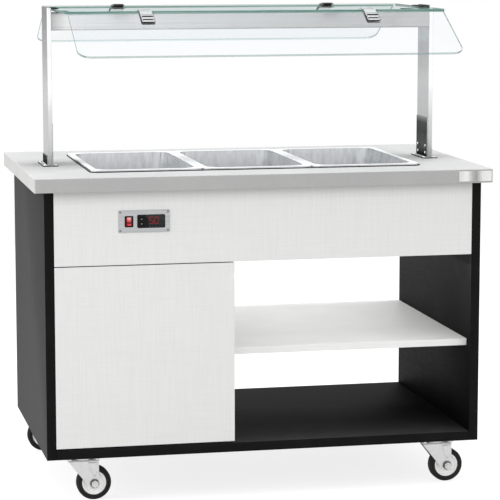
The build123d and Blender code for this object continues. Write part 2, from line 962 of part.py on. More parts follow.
def moving_leaf():
    half = hinge_knuckle / 2
    cover_start = hinge_body_start + hinge_wall / 2
    covers = [
        (cover_start, moving_cover_split),
        (moving_cover_split + moving_cover_slot, moving_cover_end),
        (moving_rim_start, moving_rim_end),
    ]
    return hinge_leaf(moving_leaf_length, flap_thickness, covers, [(-half, half)])


def hinge_clamps():
    """The four leaves that clamp on the top glass."""
    leaves = []
    for x in hinge_places():
        leaves += both_sides(Pos(x, hinge_y, hinge_z) * fixed_leaf())
    return leaves


def flap_leaves():
    return [lay_flap(Pos(-x, 0, 0) * moving_leaf()) for x in hinge_places()]


def hinge_pins():
    half = hinge_width / 2
    pins = []
    for x in hinge_places():
        pin = rod((x - half, hinge_y, hinge_z), (x + half, hinge_y, hinge_z), hinge_pin)
        pins += both_sides(pin)
    return pins


def castor_places():
    """Name, swivel axis and trailing direction of each castor."""
    left = castor_left_inset - carcass_side
    right = carcass_side - castor_right_inset
    y = carcass_face - castor_front_inset
    return [
        ("front_left", left, -y, 1),
        ("front_right", right, -y, 1),
        ("back_left", left, y, -1),
        ("back_right", right, y, -1),
    ]


def castor_bolt_places():
    places = []
    for _, x, y, _ in castor_places():
        for sx in (-1, 1):
            for sy in (-1, 1):
                places.append((x + sx * castor_bolt_pitch_x / 2, y + sy * castor_bolt_pitch_y / 2))
    return places


def castor_plates():
    """Screw-on top plates with their bearing race and king pin."""
    plate = rounded_block(
        castor_plate_length, castor_plate_width, castor_plate_corner, castor_plate_bottom, carcass_bottom
    )
    race = Pos(0, 0, castor_plate_bottom) * Circle(castor_race_radius)
    plate += extrude(race, -castor_race_height, taper=castor_race_taper)
    pin_end = crown_bottom - swivel_gap - king_pin_head_height
    plate += rod((0, 0, castor_plate_bottom), (0, 0, pin_end), king_pin_radius)
    plate += rod((0, 0, pin_end), (0, 0, crown_bottom - swivel_gap), king_pin_head_radius)
    for sx in (-1, 1):
        for sy in (-1, 1):
            x = sx * castor_bolt_pitch_x / 2
            y = sy * castor_bolt_pitch_y / 2
            low = (x, y, castor_plate_bottom)
            plate -= rod(low, (x, y, carcass_bottom), castor_bolt_radius + screw_gap)
    return [Pos(x, y, 0) * plate for _, x, y, _ in castor_places()]


def castor_bolts():
    bolts = []
    for x, y in castor_bolt_places():
        seat = (x, y, castor_plate_bottom)
        head_end = (x, y, castor_plate_bottom - castor_bolt_head_height)
        shank_end = (x, y, carcass_bottom + castor_bolt_grip)
        bolts.append(hex_bar(head_end, seat, castor_bolt_head) + rod(seat, shank_end, castor_bolt_radius))
    return bolts


def fork_bead():
    """Tapered bead pressed into a leg between the crown and the axle."""
    top = crown_top - fork_bend
    low = wheel_radius + bead_low
    outline = Polyline(
        (castor_trail - bead_back, top),
        (castor_trail - bead_tip, low),
        (castor_trail + bead_tip, low),
        (castor_trail + bead_front, wheel_radius + bead_turn),
        (castor_trail + bead_front, top),
        close=True,
    )
    face = Plane(origin=(0, -fork_outside, 0), x_dir=(1, 0, 0), z_dir=(0, -1, 0))
    return extrude(face * make_face(outline), bead_height, taper=bead_slope)


def castor_fork():
    """Pressed fork: a folded channel trimmed to the slanted outline of its legs."""
    low = wheel_radius - fork_end_radius
    channel = block(-fork_back, fork_front, -fork_outside, fork_outside, low, crown_top)
    channel = fillet(channel.edges().filter_by(Axis.X).group_by(Axis.Z)[-1], fork_bend)
    gap = block(-fork_back, fork_front, -fork_inside, fork_inside, low, crown_bottom)
    channel -= fillet(gap.edges().filter_by(Axis.X).group_by(Axis.Z)[-1], fork_bend - fork_sheet)
    end = Pos(castor_trail, wheel_radius) * Circle(fork_end_radius)
    top = Line((-fork_back, crown_top), (fork_front, crown_top))
    outline = make_hull([*end.edges(), top])
    side = Plane(origin=(0, fork_outside, 0), x_dir=(1, 0, 0), z_dir=(0, -1, 0))
    fork = channel & extrude(side * outline, 2 * fork_outside)
    fork += rod((0, 0, crown_top), (0, 0, crown_top + race_height), race_radius)
    bead = fork_bead()
    fork += bead
    fork += mirror(bead, Plane.XZ)
    axle_start = (castor_trail, -fork_outside, wheel_radius)
    axle_end = (castor_trail, fork_outside, wheel_radius)
    fork -= rod(axle_start, axle_end, axle_radius + running_fit)
    pin_top = (0, 0, crown_top + race_height)
    return fork - rod((0, 0, crown_bottom), pin_top, king_pin_radius + running_fit)


def castor_axle():
    """Axle bolt with its head at the back of the fork and its nut in front."""
    x = castor_trail
    z = wheel_radius
    nut_end = -fork_outside - axle_nut_height
    axle = rod((x, nut_end - axle_end, z), (x, fork_outside, z), axle_radius)
    axle += hex_bar((x, fork_outside, z), (x, fork_outside + axle_head_height, z), axle_head)
    return axle + hex_bar((x, nut_end, z), (x, -fork_outside, z), axle_head)


def spun(points):
    """Ring turned about the wheel axis from an outline of radius and half-width points."""
    mirrored = [(radius, -offset) for radius, offset in reversed(points)]
    outline = Polyline(*points, *mirrored, close=True)
    plane = Plane(origin=(castor_trail, 0, wheel_radius), x_dir=(1, 0, 0), z_dir=(0, 0, -1))
    axis = Axis((castor_trail, 0, wheel_radius), (0, 1, 0))
    return revolve(plane * make_face(outline), axis)


def castor_wheel():
    bore = axle_radius + running_fit
    hub = fork_inside - hub_side_gap
    rim_inside = wheel_rim_radius - wheel_rim_thickness
    return spun(
        [
            (bore, hub),
            (wheel_hub_radius, hub),
            (wheel_hub_radius + wheel_web_draft, wheel_web_width / 2),
            (rim_inside - wheel_web_draft, wheel_web_width / 2),
            (rim_inside, wheel_rim_width / 2),
            (wheel_rim_radius, wheel_rim_width / 2),
        ]
    )


def castor_tyre():
    inner = wheel_rim_radius + tyre_fit
    middle = (inner + wheel_radius) / 2
    half = tyre_width / 2
    shoulder = wheel_radius - tyre_shoulder
    return spun(
        [
            (inner, half - tyre_groove),
            (inner + tyre_groove, half),
            (middle - tyre_groove, half),
            (middle, half - tyre_groove),
            (middle + tyre_groove, half),
            (shoulder, half - tyre_groove),
            (wheel_radius - tyre_groove, tyre_tread_width / 2 + tyre_groove),
            (wheel_radius, tyre_tread_width / 2),
        ]
    )


def fixed_pieces():
    return {
        "worktop": worktop(),
        "left_side_panel": side_panel(-1),
        "right_side_panel": side_panel(1),
        "bottom_panel": bottom_panel(),
        "divider_panel": divider_panel(),
        "front_service_panel": service_panel(),
        "back_service_panel": back_panel(),
        "front_apron": front_apron(),
        "back_apron": back_apron(),
        "shelf": shelf(),
        "ceiling_panel": ceiling_panel(),
        "well_tank": well_tank(),
        "pan_support_bars": pan_support_bars(),
        "insulation_jacket": insulation_jacket(),
        "heating_element": heating_element(),
        "temperature_probe": temperature_probe(),
        "drain_valve": drain_valve(),
        "cable_gland": cable_gland(),
        "control_plate": control_plate(),
        "controller_body": controller_body(),
        "switch_housing": switch_housing(),
        "pan_head_screws": pan_head_screws(),
        "left_post": guard_post(-1),
        "right_post": guard_post(1),
        "left_base_bracket": base_bracket(-1),
        "right_base_bracket": base_bracket(1),
        "top_beam": top_beam(),
        "glass_pads": glass_pads(),
        "top_glass": top_glass(),
        "hinge_clamps": hinge_clamps(),
        "hinge_pins": hinge_pins(),
        "castor_plates": castor_plates(),
        "castor_bolts": castor_bolts(),
    }


def moving_pieces():
    pieces = {
        "drain_lever": drain_lever(),
        "rocker": rocker(),
        "front_flap_glass": flap_glass(),
        "front_hinge_leaves": flap_leaves(),
        "back_flap_glass": Rot(0, 0, 180) * flap_glass(),
        "back_hinge_leaves": [Rot(0, 0, 180) * leaf for leaf in flap_leaves()],
    }
    for index, place in enumerate(("left", "middle", "right")):
        pieces[f"{place}_pan"] = food_pan(index)
    for name, x, z in key_places():
        pieces[f"{name}_key"] = key(x, z)
    for name, x, y, trail in castor_places():
        place = Pos(x, y, 0) * Rot(0, 0, 0 if trail > 0 else 180)
        pieces[f"{name}_fork"] = place * castor_fork()
        pieces[f"{name}_axle"] = place * castor_axle()
        pieces[f"{name}_wheel"] = place * castor_wheel()
        pieces[f"{name}_tyre"] = place * castor_tyre()
    return pieces


os.makedirs("parts", exist_ok=True)
for node, piece in {**fixed_pieces(), **moving_pieces()}.items():
    solids = piece if isinstance(piece, list) else [piece]
    shape = Compound(children=solids) if len(solids) > 1 else solids[0]
    export_step(shape, f"parts/{node}.step")
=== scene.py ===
import json
import math

import bmesh
import bpy
from mathutils import Matrix, Vector


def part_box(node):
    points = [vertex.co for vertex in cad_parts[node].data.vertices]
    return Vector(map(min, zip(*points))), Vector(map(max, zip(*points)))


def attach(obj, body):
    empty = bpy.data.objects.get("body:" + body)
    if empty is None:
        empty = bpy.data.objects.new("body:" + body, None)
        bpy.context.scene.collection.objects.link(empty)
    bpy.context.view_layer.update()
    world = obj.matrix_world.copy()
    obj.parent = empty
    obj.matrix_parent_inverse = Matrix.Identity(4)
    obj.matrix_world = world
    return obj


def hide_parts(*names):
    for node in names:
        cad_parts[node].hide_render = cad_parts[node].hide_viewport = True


# Heated buffet trolley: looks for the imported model, in metres, in the frame of the construction.

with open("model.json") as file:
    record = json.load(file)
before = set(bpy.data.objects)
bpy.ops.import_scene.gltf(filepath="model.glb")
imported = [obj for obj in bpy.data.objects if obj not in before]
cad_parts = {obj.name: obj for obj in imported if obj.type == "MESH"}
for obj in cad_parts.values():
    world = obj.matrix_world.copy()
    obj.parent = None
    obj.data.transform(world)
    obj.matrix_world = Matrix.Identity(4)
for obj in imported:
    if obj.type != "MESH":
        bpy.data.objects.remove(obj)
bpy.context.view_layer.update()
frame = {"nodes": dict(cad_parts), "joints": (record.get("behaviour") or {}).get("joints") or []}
scene = bpy.context.scene

# Names and places from the frame
corners = ("front_left", "front_right", "back_left", "back_right")
joints = {joint["name"]: joint for joint in frame["joints"]}
counter_low, counter_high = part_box("worktop")
counter_top = counter_high.z
apron_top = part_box("front_apron")[1].z
shelf_low, shelf_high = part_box("shelf")
base_low, base_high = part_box("bottom_panel")
glass_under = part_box("top_glass")[0].z
rocker_low, rocker_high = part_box("rocker")
tank_low, tank_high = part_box("well_tank")

# Directions
rightward = Vector((1, 0, 0))
frontward = Vector((0, -1, 0))
upward = Vector((0, 0, 1))

# Least share of a normal along a direction that its face looks in, and downwards for a pane's lower edge
facing = 0.9
lower_slope = 0.1

# Angle from which an edge stays sharp
crease = math.radians(30)

# Guard feet: upper side of the plate, its corners and the black seal round it, which is also painted shade
# along the plate's edge
foot_plate_top = counter_top + 0.0035
foot_corner = 0.0030
seal_rim = 0.0012
seal_height = 0.0026
seal_bevel = 0.0005

# Pans and well: depth of a pan's rim, corners of the well's flange and the black ring of painted shadow round
# it
rim_depth = 0.0030
flange_corner = 0.020
shadow_ring_gap = 0.0001
shadow_ring_rim = 0.0022
shadow_ring_height = 0.0024

# Castors: bead on a fork's legs, and the washers on it, whose outlines have short flats between arcs and
# whose grey is painted shade round the nuts
bead_height = 0.0015
washer_width = 0.0262
washer_bore = 0.0130
washer_height = 0.0012
washer_flat = 0.0002
washer_steps = 12

# Flap hinges: sizes of a leaf from the hinge axis, across it and from the middle of the glass
hinge_places = (-0.330, 0.330)
flap_glass_half = 0.003
leaf_half = 0.018
leaf_start = 0.0075
leaf_end = 0.062
leaf_corner = 0.003
leaf_plate_top = 0.005
leaf_cover_top = 0.0075
# The gasket's black rim past the leaf is partly a real gasket and partly painted shade round the leaf.
gasket_rim = 0.0018
gasket_height = 0.0008

# Hinge clamps: a face has black painted shade where its normal times its place, both along Y, is below this
shaded_end_limit = -0.15

# Rubber on a leaf: a black strip near its end, a painted shadow under the cover's end, and the inlay in its
# cover
shadow_strip_start = 0.0499
shadow_strip_end = 0.0566
shadow_strip_width = 0.030
shadow_strip_corner = 0.0012
shadow_strip_height = 0.0018
shadow_strip_bevel = 0.0004
inlay_middle = 0.0360
inlay_length = 0.0060
inlay_width = 0.032
inlay_corner = 0.0010
inlay_height = 0.0006

# Studs on a leaf: one row in the slot of its cover, black as painted shade for holes, and two on its grip
slot_row = 0.0250
slot_studs = range(-3, 4)
slot_stud_height = 0.0010
grip_rows = (0.0425, 0.0465)
grip_studs = range(-2, 3)
grip_stud_height = 0.0006
stud_pitch = 0.0046
stud_radius = 0.0013

# Controller's face, from its middle: corners of a window with a slanted side, two digits and a row of lamps
window_outline = [
    (0.0378, 0.0178), (0.0378, -0.0125), (-0.0085, -0.0125), (-0.0085, 0.0060), (-0.0195, 0.0178)
]
window_height = 0.0003
window_bevel = 0.0002
first_digit = (0.0002, 0.0030)
digit_width = 0.0104
digit_height = 0.0180
digit_pitch = 0.0148
bar_width = 0.0016
bar_gap = 0.0006
bar_lift = 0.0004
first_lamp = (-0.004, -0.0153)
lamp_count = 5
lamp_pitch = 0.0085
lamp_radius = 0.0008
lamp_height = 0.0004

# Radius of a bar's six-sided end as a share of the bar's width
bar_end = 0.577

# Arrows printed on the keys
arrow_half = 0.0026
arrow_foot = 0.0014
arrow_point = 0.0019
ink_height = 0.0001

# Bare plate on the worktop's edge: a field inside a raised rim
plate_length = 0.101
plate_height = 0.033
plate_corner = 0.0016
plate_end_gap = 0.003
plate_rim = 0.0013
plate_rim_height = 0.0008
plate_rim_bevel = 0.0002
field_corner = 0.0010
field_height = 0.0005
plate_middle = counter_high.x - plate_end_gap - plate_length / 2

# Small screws: a point further than shank_reach from the axis is on the head, and the dome narrows to its top
shank_reach = 0.003
dome_narrowing = 0.34
screw_sizes = {
    "Head Radius": 0.0036,
    "Head Height": 0.0024,
    "Dome Height": 0.0013,
    "Recess Length": 0.0042,
    "Recess Width": 0.0010,
    "Recess Depth": 0.0012,
    "Shank Radius": 0.0020,
}

# Glow of the switch cap: where it fades to the sides, where painted shade over the pivot dims it and where a
# painted highlight makes it paler
glow_fade = (0.0036, 0.0072)
pivot_drop = 0.0040
pivot_shade = (0.0006, 0.0042)
pale_start = 0.001
pale_end_gap = 0.002

# Studio: strengths of the light, and the steepness of the directions between which it changes
floor_reach = 5.0
floor_bounce = 0.46
floor_glow = 0.82
front_glow = 1.33
back_glow_low = 0.90
back_glow_high = 0.25
dome_glow = 0.92
band_fade = (0.10, 0.28)
dome_rise = (0.12, 0.45)
back_fade = (-0.085, -0.03)
front_to_back = (-0.2, 0.2)

# Camera: lens and sensor in mm, and degrees below level and to the right of straight back
camera_lens = 161.47
camera_sensor = 36
camera_place = (-1.3985, -6.6027, 1.6175)
camera_dip = 8.024
camera_turn = 12.227

# Part of the noise's range that a grain uses, and that the clouds over it use
grain_span = (0.3, 0.7)
cloud_span = (0.42, 0.72)


def colour(code):
    """Linear colour of an sRGB hex code."""
    parts = [int(code[i:i + 2], 16) / 255 for i in (0, 2, 4)]
    return [c / 12.92 if c <= 0.04045 else ((c + 0.055) / 1.055) ** 2.4 for c in parts] + [1.0]


def feed(tree, node, links):
    """Give a node's inputs their values, or the outputs that feed them; a node gives its first output."""
    for socket, source in links.items():
        if isinstance(source, bpy.types.Node):
            source = source.outputs[0]
        if isinstance(source, bpy.types.NodeSocket):
            tree.links.new(source, node.inputs[socket])
        else:
            node.inputs[socket].default_value = source


def add(tree, kind, links=(), **settings):
    """Add a node with its settings, and feed its inputs."""
    node = tree.nodes.new(kind)
    for name, value in settings.items():
        setattr(node, name, value)
    feed(tree, node, dict(links))
    return node


def shader_of(material):
    """Node tree of a material, and the main shader in it."""
    return material.node_tree, material.node_tree.nodes["Principled BSDF"]


def grain_noise(tree, grain, detail):
    """Noise over the object's own coordinates, with a size in mm along X, Y and Z."""
    place = add(tree, "ShaderNodeTexCoord").outputs["Object"]
    stretch = add(tree, "ShaderNodeMapping", {"Vector": place, "Scale": [1000 / size for size in grain]})
    noise = add(tree, "ShaderNodeTexNoise", {"Vector": stretch, "Scale": 1.0, "Detail": detail})
    return noise.outputs[0]


def grained(name, grain, colours, roughness, relief, metallic=0.0, specular=0.5, **values):
    """Material whose colour, gloss and relief follow one grain.

    The grain's size is in mm along X, Y and Z. Colours and roughness run from its hollows to its heights,
    and relief is the depth between them in mm. Other values go to the shader's sockets of those names.
    """
    material = bpy.data.materials.new(name)
    material.use_nodes = True
    tree, shader = shader_of(material)
    for socket, value in dict(values, Metallic=metallic, Specular_IOR_Level=specular).items():
        shader.inputs[socket.replace("_", " ")].default_value = value
    noise = grain_noise(tree, grain, 4.0)
    low, high = grain_span
    tone = add(tree, "ShaderNodeMapRange", {"Value": noise, "From Min": low, "From Max": high}, name="grain")
    hollow, height = (colour(code) for code in colours)
    paint = add(tree, "ShaderNodeMix", {0: tone, 6: hollow, 7: height}, data_type="RGBA")
    gloss = add(tree, "ShaderNodeMapRange", {"Value": tone, "To Min": roughness[0], "To Max": roughness[1]})
    bump = add(tree, "ShaderNodeBump", {"Height": tone, "Distance": relief / 1000})
    feed(tree, shader, {"Base Color": paint.outputs[2], "Roughness": gloss, "Normal": bump})
    return material


def paint_over(material, share, upper, **settings):
    """Mix a share of an upper colour into the colour of a material."""
    tree, shader = shader_of(material)
    lower = shader.inputs["Base Color"].links[0].from_socket
    paint = add(tree, "ShaderNodeMix", {0: share, 6: lower, 7: upper}, data_type="RGBA", **settings)
    feed(tree, shader, {"Base Color": paint.outputs[2]})


def crossed(material, grain, code, share):
    """Lay a second grain, in mm, over a grained material: its heights take a share of another colour."""
    tree = material.node_tree
    noise = grain_noise(tree, grain, 3.0)
    low, high = cloud_span
    tone = add(
        tree, "ShaderNodeMapRange", {"Value": noise, "From Min": low, "From Max": high, "To Max": share}
    )
    paint_over(material, tone, colour(code))
    return material


def mottled(name, sizes, codes, share, roughness, relief, **values):
    """Material with a grain and with clouds over it, each of one size in mm all ways.

    The codes are the colours of the grain's hollows and heights and of the clouds, which take a share.
    """
    grain, clouds = sizes
    material = grained(name, [grain] * 3, codes[:2], roughness, relief, **values)
    return crossed(material, [clouds] * 3, codes[2], share)


def toned(material, start, stops, axis="Z"):
    """Tone a grained material along an axis.

    Stops pair a distance from the start, in metres, with the tint that the colour is multiplied by there.
    """
    tree = material.node_tree
    near, far = stops[0][0], stops[-1][0]
    place = add(tree, "ShaderNodeSeparateXYZ", {0: add(tree, "ShaderNodeTexCoord").outputs["Object"]})
    way = add(
        tree,
        "ShaderNodeMapRange",
        {"Value": place.outputs[axis], "From Min": start + near, "From Max": start + far},
    )
    ramp = add(tree, "ShaderNodeValToRGB", {0: way})
    tints = ramp.color_ramp.elements
    for index, (distance, code) in enumerate(stops):
        spot = (distance - near) / (far - near)
        tint = tints.new(spot) if 0 < index < len(stops) - 1 else tints[0 if index == 0 else -1]
        tint.position = spot
        tint.color = colour(code)
    paint_over(material, 1.0, ramp, blend_type="MULTIPLY")
    return material


# High-pressure laminate: an even pale grey with a dull satin face. The eye gets a fine pearl grain, drawn
# at 3 mm so that it shows, and a slow cloudiness.
grey_laminate = mottled(
    "high_pressure_laminate", (3, 90), ("A9A9A9", "B1B1B0", "B6B6B5"), 0.5, (0.50, 0.60), 0.015, specular=0.2
)


def linen_melamine(name):
    """Melamine with a linen finish: near white, with fine upright threads and fainter level ones."""
    board = grained(name, (3, 3, 110), ("DFDFDE", "E5E5E4"), (0.36, 0.46), 0.01)
    return crossed(board, (120, 120, 3), "DBDBDA", 0.5)


# The threads are drawn at 3 mm so that they show. The front apron is greyer just under the worktop: painted
# shade from the worktop's overhang.
white_melamine = linen_melamine("white_linen_melamine")
apron_melamine = toned(
    linen_melamine("apron_linen_painted_shade"),
    apron_top,
    [(-0.040, "FFFFFF"), (-0.024, "F4F4F4"), (-0.012, "E4E4E4"), (0.0, "D2D2D2")],
)

# The shelf's melamine is smoother: near white, with a soft level grain, drawn at 3 mm so that it shows.
# Painted light makes it palest towards its back edge.
shelf_melamine = toned(
    crossed(
        grained("white_shelf_melamine", (110, 3, 3), ("F3F3F2", "F9F9F8"), (0.36, 0.46), 0.006),
        (120, 120, 120),
        "EBEBEA",
        0.4,
    ),
    shelf_low.y,
    [(0.0, "F6F6F6"), (0.207, "F0F0F0"), (shelf_high.y - shelf_low.y, "FFFFFF")],
    "Y",
)


def dark_melamine(name, pores, codes, share, specular):
    """Dark melamine: a dull sheen, long pores of a size in mm, and slow clouds of the third colour."""
    board = grained(name, pores, codes[:2], (0.56, 0.66), 0.01, specular=specular)
    return crossed(board, (70, 70, 70), codes[2], share)


# The pores are drawn 2.5 mm wide so that they show. The outer faces of the side boards are charcoal, with
# upright pores.
charcoal_melamine = dark_melamine(
    "charcoal_melamine", (2.5, 2.5, 40), ("323232", "3A3A3A", "3C3C3C"), 0.4, 0.08
)

# Upper face of the floor board: dark grey, with painted light that makes it palest towards the front.
floor_melamine = toned(
    dark_melamine("floor_black_melamine_painted_light", (40, 2.5, 2.5), ("363636", "3E3E3E", "424242"), 0.5, 0.08),
    base_low.y,
    [(0.0, "FFFFFF"), (0.228, "BCBCBC"), (base_high.y - base_low.y, "808080")],
    "Y",
)

# Inner faces of the side boards: dark grey, with painted shade that darkens them towards the floor board.
inner_melamine = toned(
    dark_melamine("inner_black_melamine", (40, 40, 2.5), ("323232", "3A3A3A", "3E3E3E"), 0.5, 0.05),
    base_high.z,
    [(0.0325, "484848"), (0.2625, "5C5C5C"), (0.5625, "F8F8F8")],
)

# Banding on the side boards, and the floor board's other faces: deep black, with long level pores.
black_melamine = dark_melamine("black_melamine", (40, 2.5, 2.5), ("0A0A0A", "121212", "161616"), 0.5, 0.10)


def brushed_steel(name, grain, codes, bands, **values):
    """Stainless steel brushed one way: grey, with long fine streaks and softer bands of the third colour."""
    dark, light, shade = codes
    steel = grained(name, grain, (dark, light), (0.16, 0.26), 0.004, metallic=1.0, **values)
    crossed(steel, [size * 6 for size in grain], light, 0.6)
    return crossed(steel, bands, shade, 0.4)


# The streaks are drawn 1.6 mm wide so that they show: upright on the posts and their feet, and along the beam
# and the control plate. The posts darken towards the worktop in soft level bands, a painted reflection of the
# darker things below them.
upright_steel = toned(
    brushed_steel(
        "upright_brushed_stainless", (1.6, 1.6, 260), ("E6E7E8", "FCFDFE", "D4D6D7"), (500, 500, 60)
    ),
    counter_top,
    [
        (0.003, "B0B0B0"),
        (0.060, "C6C6C6"),
        (0.120, "D6D6D6"),
        (0.170, "E4E4E4"),
        (0.220, "FAFAFA"),
        (0.464, "FFFFFF"),
    ],
)

# The sheet of the posts' feet carries a painted reflection: dark at its foot, with dimmed reflections, fading
# to bare steel at its upper edge.
foot_steel = toned(
    brushed_steel(
        "foot_stainless_painted_reflection",
        (1.6, 1.6, 120),
        ("D0D1D2", "F0F1F2", "B8B9BA"),
        (500, 500, 25),
        Specular_Tint=colour("959595"),
    ),
    counter_top,
    [
        (0.000, "585858"),
        (0.015, "6C6C6C"),
        (0.032, "A0A0A0"),
        (0.050, "949494"),
        (0.080, "8A8A8A"),
        (0.106, "929292"),
        (0.115, "C8C8C8"),
        (0.124, "FFFFFF"),
    ],
)

# The beam carries painted light: palest near its left end, darker at the very end as a painted reflection of
# the post, and darkening slowly to the right, measured from the trolley's middle.
level_steel = toned(
    brushed_steel("level_brushed_stainless", (260, 1.6, 1.6), ("CFCECD", "EAE9E8", "DCDBDA"), (400, 30, 30)),
    0.0,
    [(-0.575, "C8C8C8"), (-0.53, "FAFAFA"), (0.0, "E6E6E6"), (0.575, "CECECE")],
    "X",
)
plate_steel = brushed_steel(
    "level_brushed_plate", (120, 1.6, 1.6), ("A2A3A4", "BCBDBE", "B0B1B2"), (200, 12, 12)
)

# Satin steel of the foot plates and of the sheet's edges: pale, and bright also where it mirrors nothing.
satin_steel = mottled(
    "satin_stainless", (3, 12), ("CFD0D1", "DFE0E1", "E8E9EA"), 0.4, (0.34, 0.46), 0.004, metallic=0.5
)

# Dull nickel on the screws of the control plate: a soft grey close to the plate's own. The grain of both
# nickels is drawn at 2 mm so that it shows.
dull_nickel = mottled(
    "dull_nickel_plate", (2, 8), ("A0A1A2", "AEAFB0", "949596"), 0.4, (0.45, 0.55), 0.004, metallic=1.0
)

# Nickel on the screws of the guard's feet: near white and hardly metallic, a painted glint, so that each head
# stands out as a bright dot.
nickel_painted_glint = mottled(
    "nickel_plate_painted_glint", (2, 8), ("F6F7F8", "FEFEFE", "F0F1F2"), 0.4, (0.24, 0.34), 0.004, metallic=0.2
)

# Deep-drawn stainless steel: brighter and smoother than brushed sheet, with soft draw marks.
drawn_steel = crossed(
    grained("deep_drawn_stainless", (14, 14, 40), ("BCBEC0", "DADCDE"), (0.16, 0.26), 0.01, metallic=0.7),
    (2.2, 60, 60),
    "E6E8E9",
    0.4,
)

# Rims of the pans: near white and matt beside the drawn walls, a painted highlight along the rim.
rim_steel = mottled(
    "pan_rim_painted_highlight",
    (6, 20),
    ("DCDDDE", "E8E9EA", "F0F1F2"),
    0.4,
    (0.40, 0.52),
    0.004,
    metallic=0.2,
    specular=0.2,
)

# Die-cast zinc with satin chrome: a light cool metal with hardly any texture.
satin_chrome = mottled(
    "satin_chromed_zinc", (5, 1), ("E4E8E8", "F2F5F5", "FAFBFB"), 0.3, (0.16, 0.26), 0.004, metallic=1.0
)

# Bright zinc on pressed steel: pale grey metal, cloudy where the plating took unevenly.
zinc_plate = mottled(
    "bright_zinc_plate", (14, 60), ("D6D6D6", "E0E0E0", "E8E6E3"), 0.35, (0.30, 0.42), 0.01, metallic=1.0
)

# Nickel-plated brass: a warm grey metal.
nickel_brass = mottled(
    "nickel_plated_brass", (4, 15), ("A39B8A", "C2BBAC", "CFC8B8"), 0.4, (0.22, 0.34), 0.01, metallic=1.0
)

# Sheath of the heating element: steel gone brown and matt with heat, with a violet bloom.
heater_steel = mottled(
    "heater_sheath_steel", (4, 30), ("5B544E", "7D746B", "6A5F7A"), 0.4, (0.40, 0.55), 0.01, metallic=1.0
)

# Mineral wool: yellowish loose fibre, fully matt, with fibres drawn 2 mm thick so that they show.
mineral_wool = crossed(
    grained("mineral_wool", (2, 9, 9), ("A8935A", "D3C189"), (0.9, 1.0), 0.6), (9, 2, 9), "8F7B45", 0.5
)

# Moulded rubber: near black and matt, with a dusty bloom. The grain is drawn at 1.5 mm on the tyres and at
# 1.2 mm on the seals so that it shows.
grey_rubber = mottled(
    "tyre_rubber", (1.5, 12), ("101010", "1A1A1A", "242424"), 0.5, (0.50, 0.65), 0.03, specular=0.3
)
black_rubber = mottled(
    "black_rubber", (1.2, 8), ("0E0E0E", "161616", "1C1C1C"), 0.5, (0.60, 0.75), 0.03, specular=0.2
)

# Polypropylene wheel centre: near white, waxy, faintly mottled.
hub_plastic = mottled("hub_polypropylene", (3, 10), ("F8F8F7", "FEFEFD", "FFFFFE"), 0.4, (0.34, 0.46), 0.01)

# Nylon washers: mid grey and waxy, their grey a painted shade round the axle nuts.
nylon_painted_shade = mottled("nylon_painted_shade", (3, 9), ("545454", "626262", "6E6E6E"), 0.4, (0.40, 0.52), 0.004)

# Black ABS: a near-black moulded gloss with a slight orange-peel.
black_abs = mottled(
    "black_abs", (1.4, 9), ("050505", "0A0A0B", "0F0F10"), 0.4, (0.14, 0.24), 0.004, specular=0.15
)

# Smoked acrylic over the display: dark grey and very smooth.
smoked_acrylic = mottled(
    "smoked_acrylic", (6, 20), ("1C1C1E", "222224", "28282A"), 0.5, (0.05, 0.09), 0.002, specular=0.25
)

# Glass-filled polyamide of the cable gland: black with a dull grain, drawn at 0.9 mm so that it shows.
black_polyamide = mottled(
    "black_polyamide", (0.9, 6), ("101010", "1B1B1B", "222222"), 0.4, (0.42, 0.56), 0.02
)

# Screen-printed ink: pale grey and matt, with the print's grain drawn at 0.8 mm so that it shows.
pale_ink = mottled("pale_screen_ink", (0.8, 3), ("868686", "969696", "A4A4A4"), 0.4, (0.50, 0.65), 0.002)

# Polished aluminium of the edge plate: near white, with a painted reflection as a soft grey band across its
# middle.
polished_plate = toned(
    mottled("polished_aluminium", (4, 15), ("E6E6E5", "F0F0EF", "F4F4F3"), 0.4, (0.20, 0.30), 0.004),
    plate_middle,
    [
        (-0.0495, "EAEAEA"),
        (-0.0245, "FFFFFF"),
        (-0.0085, "C0C0C0"),
        (0.0035, "A6A6A6"),
        (0.0215, "F4F4F4"),
        (0.0495, "FFFFFF"),
    ],
    "X",
)


def lit_polycarbonate():
    """Red switch cap lit from inside: its glow fades to its sides, painted shade darkens it over the pivot
    and a painted highlight makes it palest at its upper end.
    """
    material = grained(
        "lit_red_polycarbonate", (1.5, 1.5, 1.5), ("3C0406", "520709"), (0.16, 0.24), 0.004, specular=0.3
    )
    tree, shader = shader_of(material)
    middle = (rocker_low + rocker_high) / 2
    place = add(tree, "ShaderNodeSeparateXYZ", {0: add(tree, "ShaderNodeTexCoord").outputs["Object"]})
    shares = []
    for axis, centre, (near, far), inner, outer in (
        ("X", middle.x, glow_fade, 1.0, 0.03), ("Z", middle.z - pivot_drop, pivot_shade, 0.07, 0.86)
    ):
        aside = add(tree, "ShaderNodeMath", {0: place.outputs[axis], 1: centre}, operation="SUBTRACT")
        away = add(tree, "ShaderNodeMath", {0: aside}, operation="ABSOLUTE")
        fade = {"Value": away, "From Min": near, "From Max": far, "To Min": inner, "To Max": outer}
        shares.append(add(tree, "ShaderNodeMapRange", fade, interpolation_type="SMOOTHSTEP"))
    glow = add(tree, "ShaderNodeMath", dict(enumerate(shares)), operation="MULTIPLY")
    upper = add(
        tree,
        "ShaderNodeMapRange",
        {
            "Value": place.outputs["Z"],
            "From Min": middle.z + pale_start,
            "From Max": rocker_high.z - pale_end_gap,
        },
    )
    light = add(
        tree, "ShaderNodeMix", {0: upper, 6: colour("E8404A"), 7: colour("FFB4B2")}, data_type="RGBA"
    )
    feed(tree, shader, {"Emission Color": light.outputs[2], "Emission Strength": glow})
    return material


